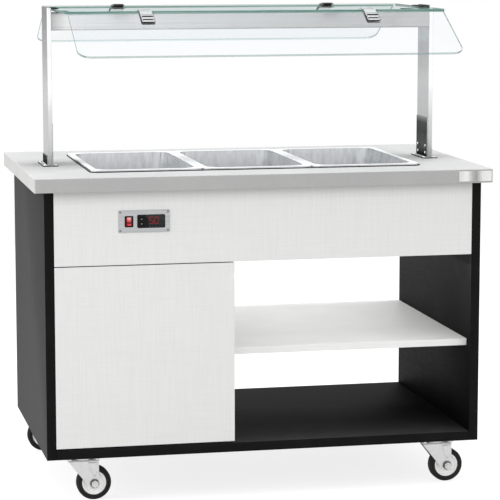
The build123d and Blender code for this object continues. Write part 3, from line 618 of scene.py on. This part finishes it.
def display_light():
    """Red light-emitting segments behind the window, a little uneven along their length."""
    material = grained(
        "red_display_segments", (2.5, 2.5, 2.5), ("4A0A0C", "5E0E10"), (0.25, 0.35), 0.002, specular=0.2
    )
    tree, shader = shader_of(material)
    grain = tree.nodes["grain"].outputs[0]
    glow = add(tree, "ShaderNodeMapRange", {"Value": grain, "To Min": 0.35, "To Max": 0.60})
    feed(tree, shader, {"Emission Color": colour("B4242E"), "Emission Strength": glow})
    return material


def float_glass(name, tint):
    """Clear float glass: what is behind shows, and reflections grow to a third at a glancing angle."""
    material = bpy.data.materials.new(name)
    material.use_nodes = True
    tree, shader = shader_of(material)
    tree.nodes.remove(shader)
    haze = grain_noise(tree, (60, 60, 60), 3.0)
    smear = add(tree, "ShaderNodeMapRange", {"Value": haze, "From Min": 0.4, "To Min": 0.0, "To Max": 0.05})
    clear = add(tree, "ShaderNodeBsdfTransparent", {"Color": colour(tint)})
    mirror = add(tree, "ShaderNodeBsdfGlossy", {"Roughness": smear, "Color": colour("F4F8F8")})
    glance = add(tree, "ShaderNodeFresnel", {"IOR": 1.52})
    bare = add(tree, "ShaderNodeMath", {0: glance, 1: 0.3}, operation="MINIMUM")
    inside = add(tree, "ShaderNodeNewGeometry").outputs["Backfacing"]
    outside = add(tree, "ShaderNodeMath", {0: 1.0, 1: inside}, operation="SUBTRACT")
    share = add(tree, "ShaderNodeMath", {0: bare, 1: outside}, operation="MULTIPLY")
    mixed = add(tree, "ShaderNodeMixShader", {0: share, 1: clear, 2: mirror})
    feed(tree, tree.nodes["Material Output"], {"Surface": mixed})
    return material


def polished_edge(name, codes):
    """Polished edge of a pane, seen end on through its whole depth: green, with streaks along it."""
    edge = grained(name, (60, 2, 2), codes[:2], (0.30, 0.40), 0.004, specular=0.3)
    return crossed(edge, (200, 6, 6), codes[2], 0.4)


def thin_edge(name, codes, through):
    """Polished edge of the thinner flaps: a grey green that lets a share of the light through."""
    material = polished_edge(name, codes)
    tree, shader = shader_of(material)
    clear = add(tree, "ShaderNodeBsdfTransparent", {"Color": colour("E8F0EE")})
    mixed = add(tree, "ShaderNodeMixShader", {0: through, 1: shader, 2: clear})
    feed(tree, tree.nodes["Material Output"], {"Surface": mixed})
    return material


# The thick top glass is a touch greener than the flaps. Its edge is darkest at mid depth and pale at its
# ground arrises. The flaps' side edges read darker than their lower ones, which let the floor shine through
# and are painted paler as painted light from the floor.
clear_glass = float_glass("float_glass", "FDFEFF")
mint_glass = float_glass("thick_float_glass", "F9FCFB")
glass_edge = toned(
    polished_edge("polished_glass_edge", ("8DBDB1", "A4CDC3", "B4D6CE")),
    glass_under,
    [(0.0, "FFFFFF"), (0.002, "A4B2AE"), (0.004, "8A9A95"), (0.006, "A4B2AE"), (0.008, "FFFFFF")],
)
flap_edge = thin_edge("polished_flap_edge", ("56706C", "78908C", "90A4A0"), 0.2)
lower_edge = thin_edge("polished_lower_edge", ("8CA4A0", "A8BCB8", "BCCCC8"), 0.5)
lit_red = lit_polycarbonate()
red_segments = display_light()

finishes = {
    grey_laminate: ["worktop"],
    white_melamine: [
        "front_service_panel", "back_service_panel", "back_apron", "ceiling_panel", "divider_panel"
    ],
    shelf_melamine: ["shelf"],
    apron_melamine: ["front_apron"],
    upright_steel: ["left_post", "right_post"],
    level_steel: ["top_beam"],
    plate_steel: ["control_plate"],
    drawn_steel: ["well_tank", "pan_support_bars"],
    satin_chrome: ["hinge_pins", "front_hinge_leaves", "back_hinge_leaves"],
    black_rubber: ["glass_pads"],
    nickel_brass: ["drain_valve"],
    heater_steel: ["heating_element", "temperature_probe"],
    mineral_wool: ["insulation_jacket"],
    black_polyamide: ["cable_gland"],
    black_abs: ["controller_body", "switch_housing", "up_key", "down_key"],
    lit_red: ["rocker"],
    zinc_plate: ["castor_plates", "castor_bolts", "drain_lever"],
    hub_plastic: [f"{corner}_wheel" for corner in corners],
    grey_rubber: [f"{corner}_tyre" for corner in corners],
}
finishes[zinc_plate] += [f"{corner}_{piece}" for corner in corners for piece in ("fork", "axle")]
for material, nodes in finishes.items():
    for node in nodes:
        for holder in frame["nodes"][node].material_slots:
            holder.material = material


def settle(name, mesh, body, slot, *nodes):
    """Make a finished mesh a piece that moves with a body and stands for the given nodes."""
    piece = bpy.data.objects.new(name, mesh)
    scene.collection.objects.link(piece)
    mesh.shade_smooth()
    mesh.set_sharp_from_angle(angle=crease)
    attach(piece, body)
    if nodes:
        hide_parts(*nodes)


def merged(node):
    """Copy of a node's mesh with its loose triangles joined."""
    copy = bmesh.new()
    copy.from_mesh(frame["nodes"][node].data)
    bmesh.ops.remove_doubles(copy, verts=copy.verts, dist=1e-6)
    return copy


def pane_normal(pane):
    """Upper normal of the broad faces of a pane."""
    broad = max(pane.faces, key=lambda face: face.calc_area())
    return broad.normal.copy() if broad.normal.z > 0 else -broad.normal


def dressed(node, name, body, slot, materials, pick):
    """Stand a copy in for a node, each face in the one of the materials that pick gives it."""
    copy = merged(node)
    for face in copy.faces:
        face.material_index = materials.index(pick(face))
    mesh = bpy.data.meshes.new(name)
    copy.to_mesh(mesh)
    copy.free()
    for material in materials:
        mesh.materials.append(material)
    settle(name, mesh, body, slot, node)


def glaze(node, body, clear, back_edge):
    """Give a pane clear faces, dark ends, a lower edge painted pale as painted light, and a green one at the
    front hinges.

    The edge at the back hinges is given, and so is the clear glass. Returns the pane's upper normal.
    """
    pane = merged(node)
    normal = pane_normal(pane)
    pane.free()
    along = normal.cross(rightward)

    def pick(face):
        if abs(face.normal.dot(normal)) > facing:
            return clear
        if abs(face.normal.dot(along)) < facing:
            return flap_edge
        if face.normal.z < -lower_slope:
            return lower_edge
        return glass_edge if face.calc_center_median().y < 0 else back_edge

    dressed(node, node + "_pane", body, "clear_glass", (clear, flap_edge, glass_edge, lower_edge), pick)
    return normal


glaze("top_glass", "trolley", mint_glass, mint_glass)
flap_normals = {
    side: glaze(f"{side}_flap_glass", f"{side}_flap", clear_glass, glass_edge) for side in ("front", "back")
}


def side_finish(face):
    """Charcoal on the outer face, dark grey with painted shade on the inner one and black banding on the
    edges.
    """
    if abs(face.normal.x) < facing:
        return black_melamine
    return charcoal_melamine if face.normal.x * face.calc_center_median().x > 0 else inner_melamine


def foot_finish(face):
    """Cheeks dark with a painted reflection, a black rim round the plate as painted shade, and pale steel
    elsewhere.
    """
    if abs(face.normal.x) > facing:
        return foot_steel
    on_rim = abs(face.normal.y) > facing and face.calc_center_median().z < foot_plate_top
    return black_rubber if on_rim else satin_steel


# Side boards and guard feet
for side in ("left", "right"):
    dressed(
        f"{side}_side_panel",
        f"{side}_side_board",
        "trolley",
        "black_melamine",
        (charcoal_melamine, black_melamine, inner_melamine),
        side_finish,
    )
    dressed(
        f"{side}_base_bracket",
        f"{side}_foot",
        "trolley",
        "brushed_steel",
        (foot_steel, satin_steel, black_rubber),
        foot_finish,
    )

# Floor board whose upper face carries painted light
dressed(
    "bottom_panel",
    "floor_board",
    "trolley",
    "black_melamine",
    (black_melamine, floor_melamine),
    lambda face: floor_melamine if face.normal.z > facing else black_melamine,
)

# Food pans: drawn walls under a rim with a painted highlight
for place in ("left", "middle", "right"):
    rim_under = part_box(f"{place}_pan")[1].z - rim_depth
    dressed(
        f"{place}_pan",
        f"{place}_pan_dish",
        f"{place}_food_pan",
        "pressed_steel",
        (drawn_steel, rim_steel),
        lambda face: rim_steel if face.calc_center_median().z > rim_under else drawn_steel,
    )

# Clamps of the top glass: chromed, with black painted shade on the ends that face the middle of the guard
dressed(
    "hinge_clamps",
    "hinge_clamps_painted_shade",
    "trolley",
    "chromed_zinc",
    (satin_chrome, black_abs),
    lambda face: black_abs if face.normal.y * face.calc_center_median().y < shaded_end_limit else satin_chrome,
)


def rounded(width, height, corner, steps=6):
    """Outline of a rectangle with rounded corners about the origin."""
    points = []
    for quarter, (sx, sy) in enumerate(((1, 1), (-1, 1), (-1, -1), (1, -1))):
        for step in range(steps + 1):
            angle = quarter * math.pi / 2 + step / steps * math.pi / 2
            x = sx * (width / 2 - corner) + corner * math.cos(angle)
            y = sy * (height / 2 - corner) + corner * math.sin(angle)
            points.append((x, y))
    return points


def flat_piece(outline, thickness, place, material, hole=None, bevel=0.0):
    """Mesh of an outline in its own XY plane, raised by a thickness and put in place by a matrix."""
    shape = bmesh.new()
    loop = [shape.verts.new((x, y, 0)) for x, y in outline]
    if hole is None:
        base = [shape.faces.new(loop)]
    else:
        inner = [shape.verts.new((x, y, 0)) for x, y in hole]
        count = len(loop)
        base = [
            shape.faces.new((loop[i], loop[(i + 1) % count], inner[(i + 1) % count], inner[i]))
            for i in range(count)
        ]
    raised = bmesh.ops.extrude_face_region(shape, geom=base, use_keep_orig=True)["geom"]
    top = [part for part in raised if isinstance(part, bmesh.types.BMFace)]
    bmesh.ops.translate(
        shape, vec=(0, 0, thickness), verts=[part for part in raised if isinstance(part, bmesh.types.BMVert)]
    )
    if bevel:
        rim = [edge for edge in shape.edges if {face in top for face in edge.link_faces} == {True, False}]
        bmesh.ops.bevel(shape, geom=rim, offset=bevel, segments=2, profile=0.5, affect="EDGES")
    bmesh.ops.recalc_face_normals(shape, faces=shape.faces)
    mesh = bpy.data.meshes.new("flat_piece")
    shape.transform(place)
    shape.to_mesh(mesh)
    shape.free()
    mesh.materials.append(material)
    return mesh


def basis(origin, across, out):
    """Matrix of a place whose X runs across and whose Z points out of the surface."""
    across = across.normalized()
    out = out.normalized()
    return Matrix.Translation(origin) @ Matrix((across, out.cross(across), out)).transposed().to_4x4()


def front_of(node):
    """Place on the middle of a node's front."""
    low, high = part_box(node)
    return basis(((low.x + high.x) / 2, low.y, (low.z + high.z) / 2), rightward, frontward)


def joined(meshes):
    """One mesh from several that share a material."""
    shape = bmesh.new()
    for mesh in meshes:
        shape.from_mesh(mesh)
    whole = meshes[0].copy()
    shape.to_mesh(whole)
    shape.free()
    return whole


def node_tree(name, sizes):
    """Empty geometry tree with named inputs for its sizes; returns it with its group input."""
    tree = bpy.data.node_groups.new(name, "GeometryNodeTree")
    tree.interface.new_socket("Geometry", in_out="INPUT", socket_type="NodeSocketGeometry")
    for label in sizes:
        tree.interface.new_socket(label, in_out="INPUT", socket_type="NodeSocketFloat")
    tree.interface.new_socket("Material", in_out="INPUT", socket_type="NodeSocketMaterial")
    tree.interface.new_socket("Geometry", in_out="OUTPUT", socket_type="NodeSocketGeometry")
    return tree, add(tree, "NodeGroupInput")


def placed(tree, given, instance, side, scale=(1, 1, 1)):
    """Instances on the given points, each with one side along its point's axis."""
    axis = add(tree, "GeometryNodeInputNamedAttribute", {"Name": "axis"}, data_type="FLOAT_VECTOR")
    turn = add(tree, "FunctionNodeAlignRotationToVector", {"Vector": axis}, axis=side)
    links = {"Points": given.outputs["Geometry"], "Instance": instance, "Rotation": turn, "Scale": scale}
    return add(tree, "GeometryNodeInstanceOnPoints", links)


def end_tree(tree, given, instances):
    """Make the instances real and give them their material."""
    real = add(tree, "GeometryNodeRealizeInstances", {0: instances}).outputs[0]
    coated = add(tree, "GeometryNodeSetMaterial", {"Geometry": real, "Material": given.outputs["Material"]})
    add(tree, "NodeGroupOutput", {0: coated})


def grown(tree, points, axes, values, material, **numbers):
    """Run a tree on points that carry an axis, and number attributes by name; returns a plain mesh."""
    mesh = bpy.data.meshes.new("points")
    mesh.from_pydata(points, [], [])
    axis = mesh.attributes.new("axis", "FLOAT_VECTOR", "POINT")
    axis.data.foreach_set("vector", [value for vector in axes for value in vector])
    for name, column in numbers.items():
        mesh.attributes.new(name, "FLOAT", "POINT").data.foreach_set("value", column)
    carrier = bpy.data.objects.new("carrier", mesh)
    scene.collection.objects.link(carrier)
    modifier = carrier.modifiers.new("tree", "NODES")
    modifier.node_group = tree
    given = dict(values, Material=material)
    for item in tree.interface.items_tree:
        if item.in_out == "INPUT" and item.name in given:
            modifier[item.identifier] = given[item.name]
    result = bpy.data.meshes.new_from_object(carrier.evaluated_get(bpy.context.evaluated_depsgraph_get()))
    carrier.modifiers.remove(modifier)
    bpy.data.objects.remove(carrier)
    return result


def screw_tree():
    """Pan-head screws: a domed head with a cross recess, and a shank of its own length, at each point."""
    tree, given = node_tree("pan_head_screws", screw_sizes)
    size = given.outputs
    drum = add(
        tree,
        "GeometryNodeMeshCylinder",
        {"Vertices": 32, "Side Segments": 8, "Radius": size["Head Radius"], "Depth": size["Head Height"]},
    )
    half = add(tree, "ShaderNodeMath", {0: size["Head Height"], 1: 0.5}, operation="MULTIPLY")
    lift = add(tree, "ShaderNodeCombineXYZ", {"Z": half})
    seated = add(tree, "GeometryNodeTransform", {"Geometry": drum.outputs["Mesh"], "Translation": lift})
    spot = add(tree, "ShaderNodeSeparateXYZ", {0: add(tree, "GeometryNodeInputPosition")})
    shoulder = add(
        tree, "ShaderNodeMath", {0: size["Head Height"], 1: size["Dome Height"]}, operation="SUBTRACT"
    )
    rise = add(
        tree,
        "ShaderNodeMapRange",
        {"Value": spot.outputs["Z"], "From Min": shoulder, "From Max": size["Head Height"]},
    )
    curve = add(tree, "ShaderNodeMath", {0: rise, 1: 2.0}, operation="POWER")
    narrow = add(tree, "ShaderNodeMath", {0: curve, 1: -dome_narrowing, 2: 1.0}, operation="MULTIPLY_ADD")
    x = add(tree, "ShaderNodeMath", {0: spot.outputs["X"], 1: narrow}, operation="MULTIPLY")
    y = add(tree, "ShaderNodeMath", {0: spot.outputs["Y"], 1: narrow}, operation="MULTIPLY")
    curved = add(tree, "ShaderNodeCombineXYZ", {"X": x, "Y": y, "Z": spot.outputs["Z"]})
    domed = add(tree, "GeometryNodeSetPosition", {"Geometry": seated, "Position": curved})
    depth = add(tree, "ShaderNodeMath", {0: size["Recess Depth"], 1: 2.0}, operation="MULTIPLY")
    top = add(tree, "ShaderNodeCombineXYZ", {"Z": size["Head Height"]})
    long_side = add(
        tree, "ShaderNodeCombineXYZ", {"X": size["Recess Length"], "Y": size["Recess Width"], "Z": depth}
    )
    bar = add(tree, "GeometryNodeMeshCube", {"Size": long_side})
    recessed = add(tree, "GeometryNodeMeshBoolean", {0: domed}, operation="DIFFERENCE")
    for turn in (0.0, math.pi / 2):
        arm = add(
            tree, "GeometryNodeTransform", {"Geometry": bar, "Translation": top, "Rotation": (0, 0, turn)}
        )
        tree.links.new(arm.outputs[0], recessed.inputs[1])
    shank = add(
        tree, "GeometryNodeMeshCylinder", {"Vertices": 16, "Radius": size["Shank Radius"], "Depth": 1.0}
    )
    hung = add(
        tree, "GeometryNodeTransform", {"Geometry": shank.outputs["Mesh"], "Translation": (0, 0, -0.5)}
    )
    length = add(tree, "GeometryNodeInputNamedAttribute", {"Name": "length"}, data_type="FLOAT")
    stretch = add(tree, "ShaderNodeCombineXYZ", {"X": 1.0, "Y": 1.0, "Z": length})
    heads = placed(tree, given, recessed, "Z")
    shanks = placed(tree, given, hung, "Z", stretch)
    both = add(tree, "GeometryNodeJoinGeometry", {0: heads})
    tree.links.new(shanks.outputs[0], both.inputs[0])
    end_tree(tree, given, both)
    return tree


def screw_places():
    """Seat point, outward axis and shank length of every small screw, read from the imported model."""
    body = merged("pan_head_screws")
    left = set(body.verts)
    found = []
    for first in body.verts:
        if first not in left:
            continue
        left.remove(first)
        island = [first]
        for vert in island:
            for edge in vert.link_edges:
                other = edge.other_vert(vert)
                if other in left:
                    left.remove(other)
                    island.append(other)
        low = Vector([min(v.co[i] for v in island) for i in range(3)])
        high = Vector([max(v.co[i] for v in island) for i in range(3)])
        along = max(range(3), key=lambda i: high[i] - low[i])
        across = (along + 1) % 3
        middle = (low + high) / 2
        wide = [v.co[along] for v in island if abs(v.co[across] - middle[across]) > shank_reach]
        outward = 1 if sum(wide) / len(wide) > middle[along] else -1
        axis = Vector((0, 0, 0))
        axis[along] = outward
        seat = middle.copy()
        seat[along] = min(wide) if outward > 0 else max(wide)
        tip = low[along] if outward > 0 else high[along]
        found.append((seat, axis, abs(seat[along] - tip)))
    body.free()
    return found


# Small screws: bright with a painted glint on the guard's feet, and dull on the control plate, which is lower
# than the worktop
screw_seats, screw_axes, screw_lengths = zip(*screw_places())
screw_mesh = grown(screw_tree(), screw_seats, screw_axes, screw_sizes, nickel_painted_glint, length=screw_lengths)
screw_platings = (nickel_painted_glint, dull_nickel)
screw_mesh.materials.clear()
for material in screw_platings:
    screw_mesh.materials.append(material)
for face in screw_mesh.polygons:
    plating = dull_nickel if face.center.z < counter_low.z else nickel_painted_glint
    face.material_index = screw_platings.index(plating)
settle("cross_recess_screws", screw_mesh, "trolley", "zinc_plate", "pan_head_screws")


def bar_tree():
    """Six-sided bars with pointed ends, each laid along its point's axis, as on a numeric display."""
    tree, given = node_tree("display_bars", ("Bar Length", "Bar Width", "Bar Height"))
    size = given.outputs
    radius = add(tree, "ShaderNodeMath", {0: size["Bar Width"], 1: bar_end}, operation="MULTIPLY")
    prism = add(
        tree, "GeometryNodeMeshCylinder", {"Vertices": 6, "Radius": radius, "Depth": size["Bar Height"]}
    )
    spot = add(tree, "ShaderNodeSeparateXYZ", {0: add(tree, "GeometryNodeInputPosition")})
    side = add(tree, "ShaderNodeMath", {0: spot.outputs["X"]}, operation="SIGN")
    spare = add(
        tree, "ShaderNodeMath", {0: radius, 1: -2.0, 2: size["Bar Length"]}, operation="MULTIPLY_ADD"
    )
    reach = add(tree, "ShaderNodeMath", {0: spare, 1: 0.5}, operation="MULTIPLY")
    shift = add(tree, "ShaderNodeMath", {0: side, 1: reach}, operation="MULTIPLY")
    move = add(tree, "ShaderNodeCombineXYZ", {"X": shift})
    drawn = add(tree, "GeometryNodeSetPosition", {"Geometry": prism.outputs["Mesh"], "Offset": move})
    end_tree(tree, given, placed(tree, given, drawn, "X"))
    return tree


def stud_tree():
    """Low round studs that stand on each point along its axis."""
    tree, given = node_tree("round_studs", ("Stud Radius", "Stud Height"))
    size = given.outputs
    ball = add(tree, "GeometryNodeMeshUVSphere", {"Segments": 16, "Rings": 8, "Radius": 1.0})
    scale = add(
        tree,
        "ShaderNodeCombineXYZ",
        {"X": size["Stud Radius"], "Y": size["Stud Radius"], "Z": size["Stud Height"]},
    )
    end_tree(tree, given, placed(tree, given, ball, "Z", scale))
    return tree


# Controller: a window with a slanted side, two digits, a row of lamps and arrows on the keys
case_front = front_of("controller_body")
window = flat_piece(window_outline, window_height, case_front, smoked_acrylic, bevel=window_bevel)
settle("display_window", window, "trolley", "black_plastic")

# The bars of a digit are lettered from its top, in shares of its width and height. The digits are 5 and 0.
bar_places = {
    "a": (0.0, 0.5),
    "b": (-0.5, 0.25),
    "c": (0.5, 0.25),
    "d": (0.0, 0.0),
    "e": (-0.5, -0.25),
    "f": (0.5, -0.25),
    "g": (0.0, -0.5),
}
level_places = []
upright_places = []
for index, letters in enumerate(("abdfg", "abcefg")):
    for letter in letters:
        x, z = bar_places[letter]
        across = first_digit[0] + index * digit_pitch + x * digit_width
        spot = case_front @ Vector((across, first_digit[1] + z * digit_height, bar_lift))
        (level_places if letter in "adg" else upright_places).append(spot)
bars = bar_tree()
segments = joined(
    [
        grown(
            bars,
            places,
            [along] * len(places),
            {"Bar Length": length - bar_gap, "Bar Width": bar_width, "Bar Height": bar_width},
            red_segments,
        )
        for places, along, length in (
            (level_places, rightward, digit_width), (upright_places, upward, digit_height / 2)
        )
    ]
)
settle("display_digits", segments, "trolley", "red_plastic")

studs = stud_tree()
lamp_spots = [
    case_front @ Vector((first_lamp[0] + index * lamp_pitch, first_lamp[1], 0)) for index in range(lamp_count)
]
lamp_sizes = {"Stud Radius": lamp_radius, "Stud Height": lamp_height}
lamps = grown(studs, lamp_spots, [frontward] * lamp_count, lamp_sizes, pale_ink)
settle("display_lamps", lamps, "trolley", "black_plastic")

for name, turn in (("up", 1), ("down", -1)):
    foot = -turn * arrow_foot
    arrow = [(turn * arrow_half, foot), (0.0, turn * arrow_point), (-turn * arrow_half, foot)]
    mark = flat_piece(arrow, ink_height, front_of(f"{name}_key"), pale_ink)
    settle(f"{name}_key_mark", mark, f"controller_{name}_key", "black_plastic")

# Bare plate on the worktop's edge, with a raised rim
plate_place = basis((plate_middle, counter_low.y, (counter_low.z + counter_top) / 2), rightward, frontward)
field_outline = rounded(plate_length - 2 * plate_rim, plate_height - 2 * plate_rim, field_corner)
rim = flat_piece(
    rounded(plate_length, plate_height, plate_corner),
    plate_rim_height,
    plate_place,
    level_steel,
    hole=field_outline,
    bevel=plate_rim_bevel,
)
settle("edge_plate_rim", rim, "trolley", "brushed_steel")
field = flat_piece(field_outline, field_height, plate_place, polished_plate)
settle("edge_plate_field", field, "trolley", "white_melamine")

# Rubber seal round each foot plate of the guard, black as painted shade along the plate's edge
for side in ("left", "right"):
    low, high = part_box(f"{side}_base_bracket")
    width = high.x - low.x
    depth = high.y - low.y
    place = basis(((low.x + high.x) / 2, (low.y + high.y) / 2, low.z), rightward, upward)
    outer = rounded(width + 2 * seal_rim, depth + 2 * seal_rim, foot_corner + seal_rim)
    inner = rounded(width, depth, foot_corner)
    seal = flat_piece(outer, seal_height, place, black_rubber, hole=inner, bevel=seal_bevel)
    settle(f"{side}_foot_seal", seal, "trolley", "black_rubber")

# Black ring round the flange of the well: a painted shadow along the flange's edge
tank_middle = (tank_low + tank_high) / 2
tank_size = tank_high - tank_low
shadow_ring = flat_piece(
    rounded(tank_size.x + 2 * shadow_ring_rim, tank_size.y + 2 * shadow_ring_rim, flange_corner + shadow_ring_rim),
    shadow_ring_height,
    basis((tank_middle.x, tank_middle.y, counter_top), rightward, upward),
    black_rubber,
    hole=rounded(tank_size.x + 2 * shadow_ring_gap, tank_size.y + 2 * shadow_ring_gap, flange_corner),
)
settle("well_painted_shadow_ring", shadow_ring, "trolley", "black_rubber")

# Nylon washers under the axle nuts and heads of the castors, their grey a painted shade round the nuts
washer_outer, washer_inner = (
    rounded(width, width, (width - washer_flat) / 2, washer_steps) for width in (washer_width, washer_bore)
)
for corner in corners:
    fork_low, fork_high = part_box(f"{corner}_fork")
    axle_low, axle_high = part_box(f"{corner}_axle")
    middle = (axle_low + axle_high) / 2
    washers = []
    for y, out in ((fork_low.y + bead_height, frontward), (fork_high.y - bead_height, -frontward)):
        place = basis((middle.x, y, middle.z), rightward, out)
        washers.append(flat_piece(washer_outer, washer_height, place, nylon_painted_shade, hole=washer_inner))
    settle(f"{corner}_axle_washers", joined(washers), f"{corner}_castor_fork", "grey_plastic")

# Flap hinges: a gasket round each leaf that is partly painted shade, black studs in the slot as painted
# shade, studs on the grip, an inlay, and a black strip of painted shadow
leaf_length = leaf_end - leaf_start
gasket_outer = rounded(2 * (leaf_half + gasket_rim), leaf_length + 2 * gasket_rim, leaf_corner + gasket_rim)
gasket_inner = rounded(2 * leaf_half, leaf_length, leaf_corner)
shadow_strip_outline = rounded(shadow_strip_width, shadow_strip_end - shadow_strip_start, shadow_strip_corner)
inlay_outline = rounded(inlay_width, inlay_length, inlay_corner)
for side, across in (("front", rightward), ("back", -rightward)):
    body = f"{side}_flap"
    normal = flap_normals[side]
    axis_point = Vector(joints[f"{side}_flap_hinge"]["pos_m"])
    slot_spots = []
    grip_spots = []
    gaskets = []
    shadow_strips_and_inlays = []
    for x in hinge_places:
        place = basis((x, axis_point.y, axis_point.z), across, normal)
        down = 1 if normal.cross(across).z < 0 else -1
        slot_spots += [place @ Vector((i * stud_pitch, down * slot_row, leaf_plate_top)) for i in slot_studs]
        grip_spots += [
            place @ Vector((i * stud_pitch, down * row, leaf_cover_top))
            for row in grip_rows
            for i in grip_studs
        ]
        for face, flip in ((1, 0), (-1, math.pi)):
            on_glass = Matrix.Translation((0, down * (leaf_start + leaf_length / 2), face * flap_glass_half))
            gasket_place = place @ on_glass @ Matrix.Rotation(flip, 4, "X")
            gaskets.append(
                flat_piece(gasket_outer, gasket_height, gasket_place, black_rubber, hole=gasket_inner)
            )
        # A black strip of painted shadow under the end of the leaf's cover
        shadow_strip_place = place @ Matrix.Translation((0, down * (shadow_strip_start + shadow_strip_end) / 2, leaf_plate_top))
        shadow_strips_and_inlays.append(
            flat_piece(shadow_strip_outline, shadow_strip_height, shadow_strip_place, black_rubber, bevel=shadow_strip_bevel)
        )
        inlay_place = place @ Matrix.Translation((0, down * inlay_middle, leaf_cover_top))
        shadow_strips_and_inlays.append(flat_piece(inlay_outline, inlay_height, inlay_place, black_rubber))
    settle(f"{side}_hinge_gaskets", joined(gaskets), body, "black_rubber")
    settle(f"{side}_hinge_shadow_strips_and_inlays", joined(shadow_strips_and_inlays), body, "black_rubber")
    # The slot's studs are black as painted shade, standing for shaded holes
    for name, spots, height, material, slot in (
        ("slot", slot_spots, slot_stud_height, black_rubber, "black_rubber"),
        ("grip", grip_spots, grip_stud_height, zinc_plate, "chromed_zinc"),
    ):
        stud_sizes = {"Stud Radius": stud_radius, "Stud Height": height}
        row = grown(studs, spots, [normal] * len(spots), stud_sizes, material)
        settle(f"{side}_hinge_{name}_studs", row, body, slot)

# Painted floor, lit from below: matt, with a very faint unevenness. It throws less light back than it shows.
pale_floor = mottled(
    "pale_lit_floor",
    (300, 900),
    ("8C8C8C", "909090", "949494"),
    0.4,
    (0.7, 0.8),
    0.0,
    Emission_Color=colour("FFFFFF"),
)
floor_tree, floor_shader = shader_of(pale_floor)
seen = add(floor_tree, "ShaderNodeLightPath").outputs["Is Camera Ray"]
lit = add(floor_tree, "ShaderNodeMapRange", {"Value": seen, "To Min": floor_bounce, "To Max": floor_glow})
feed(floor_tree, floor_shader, {"Emission Strength": lit})
floor_mesh = bpy.data.meshes.new("floor")
floor_corners = [(x * floor_reach, y * floor_reach, 0) for x, y in ((-1, -1), (1, -1), (1, 1), (-1, 1))]
floor_mesh.from_pydata(floor_corners, [], [(0, 1, 2, 3)])
floor_mesh.materials.append(pale_floor)
floor = bpy.data.objects.new("floor", floor_mesh)
scene.collection.objects.link(floor)

# Soft surround: a level band of light, stronger in front, under a bright dome. The camera sees plain white.
world = bpy.data.worlds.new("studio")
scene.world = world
world.use_nodes = True
surround = world.node_tree
background = surround.nodes["Background"]
way = add(surround, "ShaderNodeSeparateXYZ", {0: add(surround, "ShaderNodeTexCoord").outputs["Generated"]})
level = add(surround, "ShaderNodeMath", {0: way.outputs["Z"]}, operation="ABSOLUTE")
band, dome, behind, turn = [
    add(
        surround,
        "ShaderNodeMapRange",
        {"Value": value, "From Min": start, "From Max": end, "To Min": low, "To Max": high},
        interpolation_type=kind,
    )
    for value, (start, end), low, high, kind in (
        (level, band_fade, 1.0, 0.0, "SMOOTHSTEP"),
        (way.outputs["Z"], dome_rise, 0.0, dome_glow, "SMOOTHSTEP"),
        (way.outputs["Z"], back_fade, back_glow_low, back_glow_high, "LINEAR"),
        (way.outputs["Y"], front_to_back, 0.0, 1.0, "SMOOTHSTEP"),
    )
]
around = add(surround, "ShaderNodeMix", {0: turn, 2: front_glow, 3: behind}, data_type="FLOAT")
strength = add(surround, "ShaderNodeMath", {0: around, 1: band, 2: dome}, operation="MULTIPLY_ADD")
feed(surround, background, {"Color": colour("FFFFFF"), "Strength": strength})
backdrop = add(surround, "ShaderNodeBackground", {"Color": colour("FFFFFF"), "Strength": 1.0})
ray = add(surround, "ShaderNodeLightPath").outputs["Is Camera Ray"]
shown = add(surround, "ShaderNodeMixShader", {0: ray, 1: background, 2: backdrop})
feed(surround, surround.nodes["World Output"], {"Surface": shown})


def soft_light(name, place, target, size, power):
    """Square area light that points at a target and isn't mirrored."""
    lamp = bpy.data.lights.new(name, "AREA")
    lamp.size = size
    lamp.energy = power
    holder = bpy.data.objects.new(name, lamp)
    holder.location = place
    holder.rotation_euler = (Vector(target) - Vector(place)).to_track_quat("-Z", "Y").to_euler()
    holder.visible_camera = False
    holder.visible_glossy = False
    scene.collection.objects.link(holder)


# Large soft lights from above and from the left, and a weak one under the ceiling of the open bay
soft_light("top_light", place=(0.3, 0.1, 4.4), target=(0.1, 0, 0.9), size=2.0, power=150)
soft_light("left_light", place=(-4.4, -0.7, 2.2), target=(0, 0, 0.7), size=2.0, power=150)
soft_light("bay_light", place=(0.3, 0, 0.655), target=(0.3, 0, 0.43), size=0.8, power=1.3)

scene.view_settings.view_transform = "Standard"
camera = bpy.data.objects.new("camera", bpy.data.cameras.new("camera"))
camera.data.sensor_width = camera_sensor
camera.data.lens = camera_lens
camera.location = camera_place
camera.rotation_euler = (math.radians(90 - camera_dip), 0, math.radians(-camera_turn))
scene.collection.objects.link(camera)
scene.camera = camera
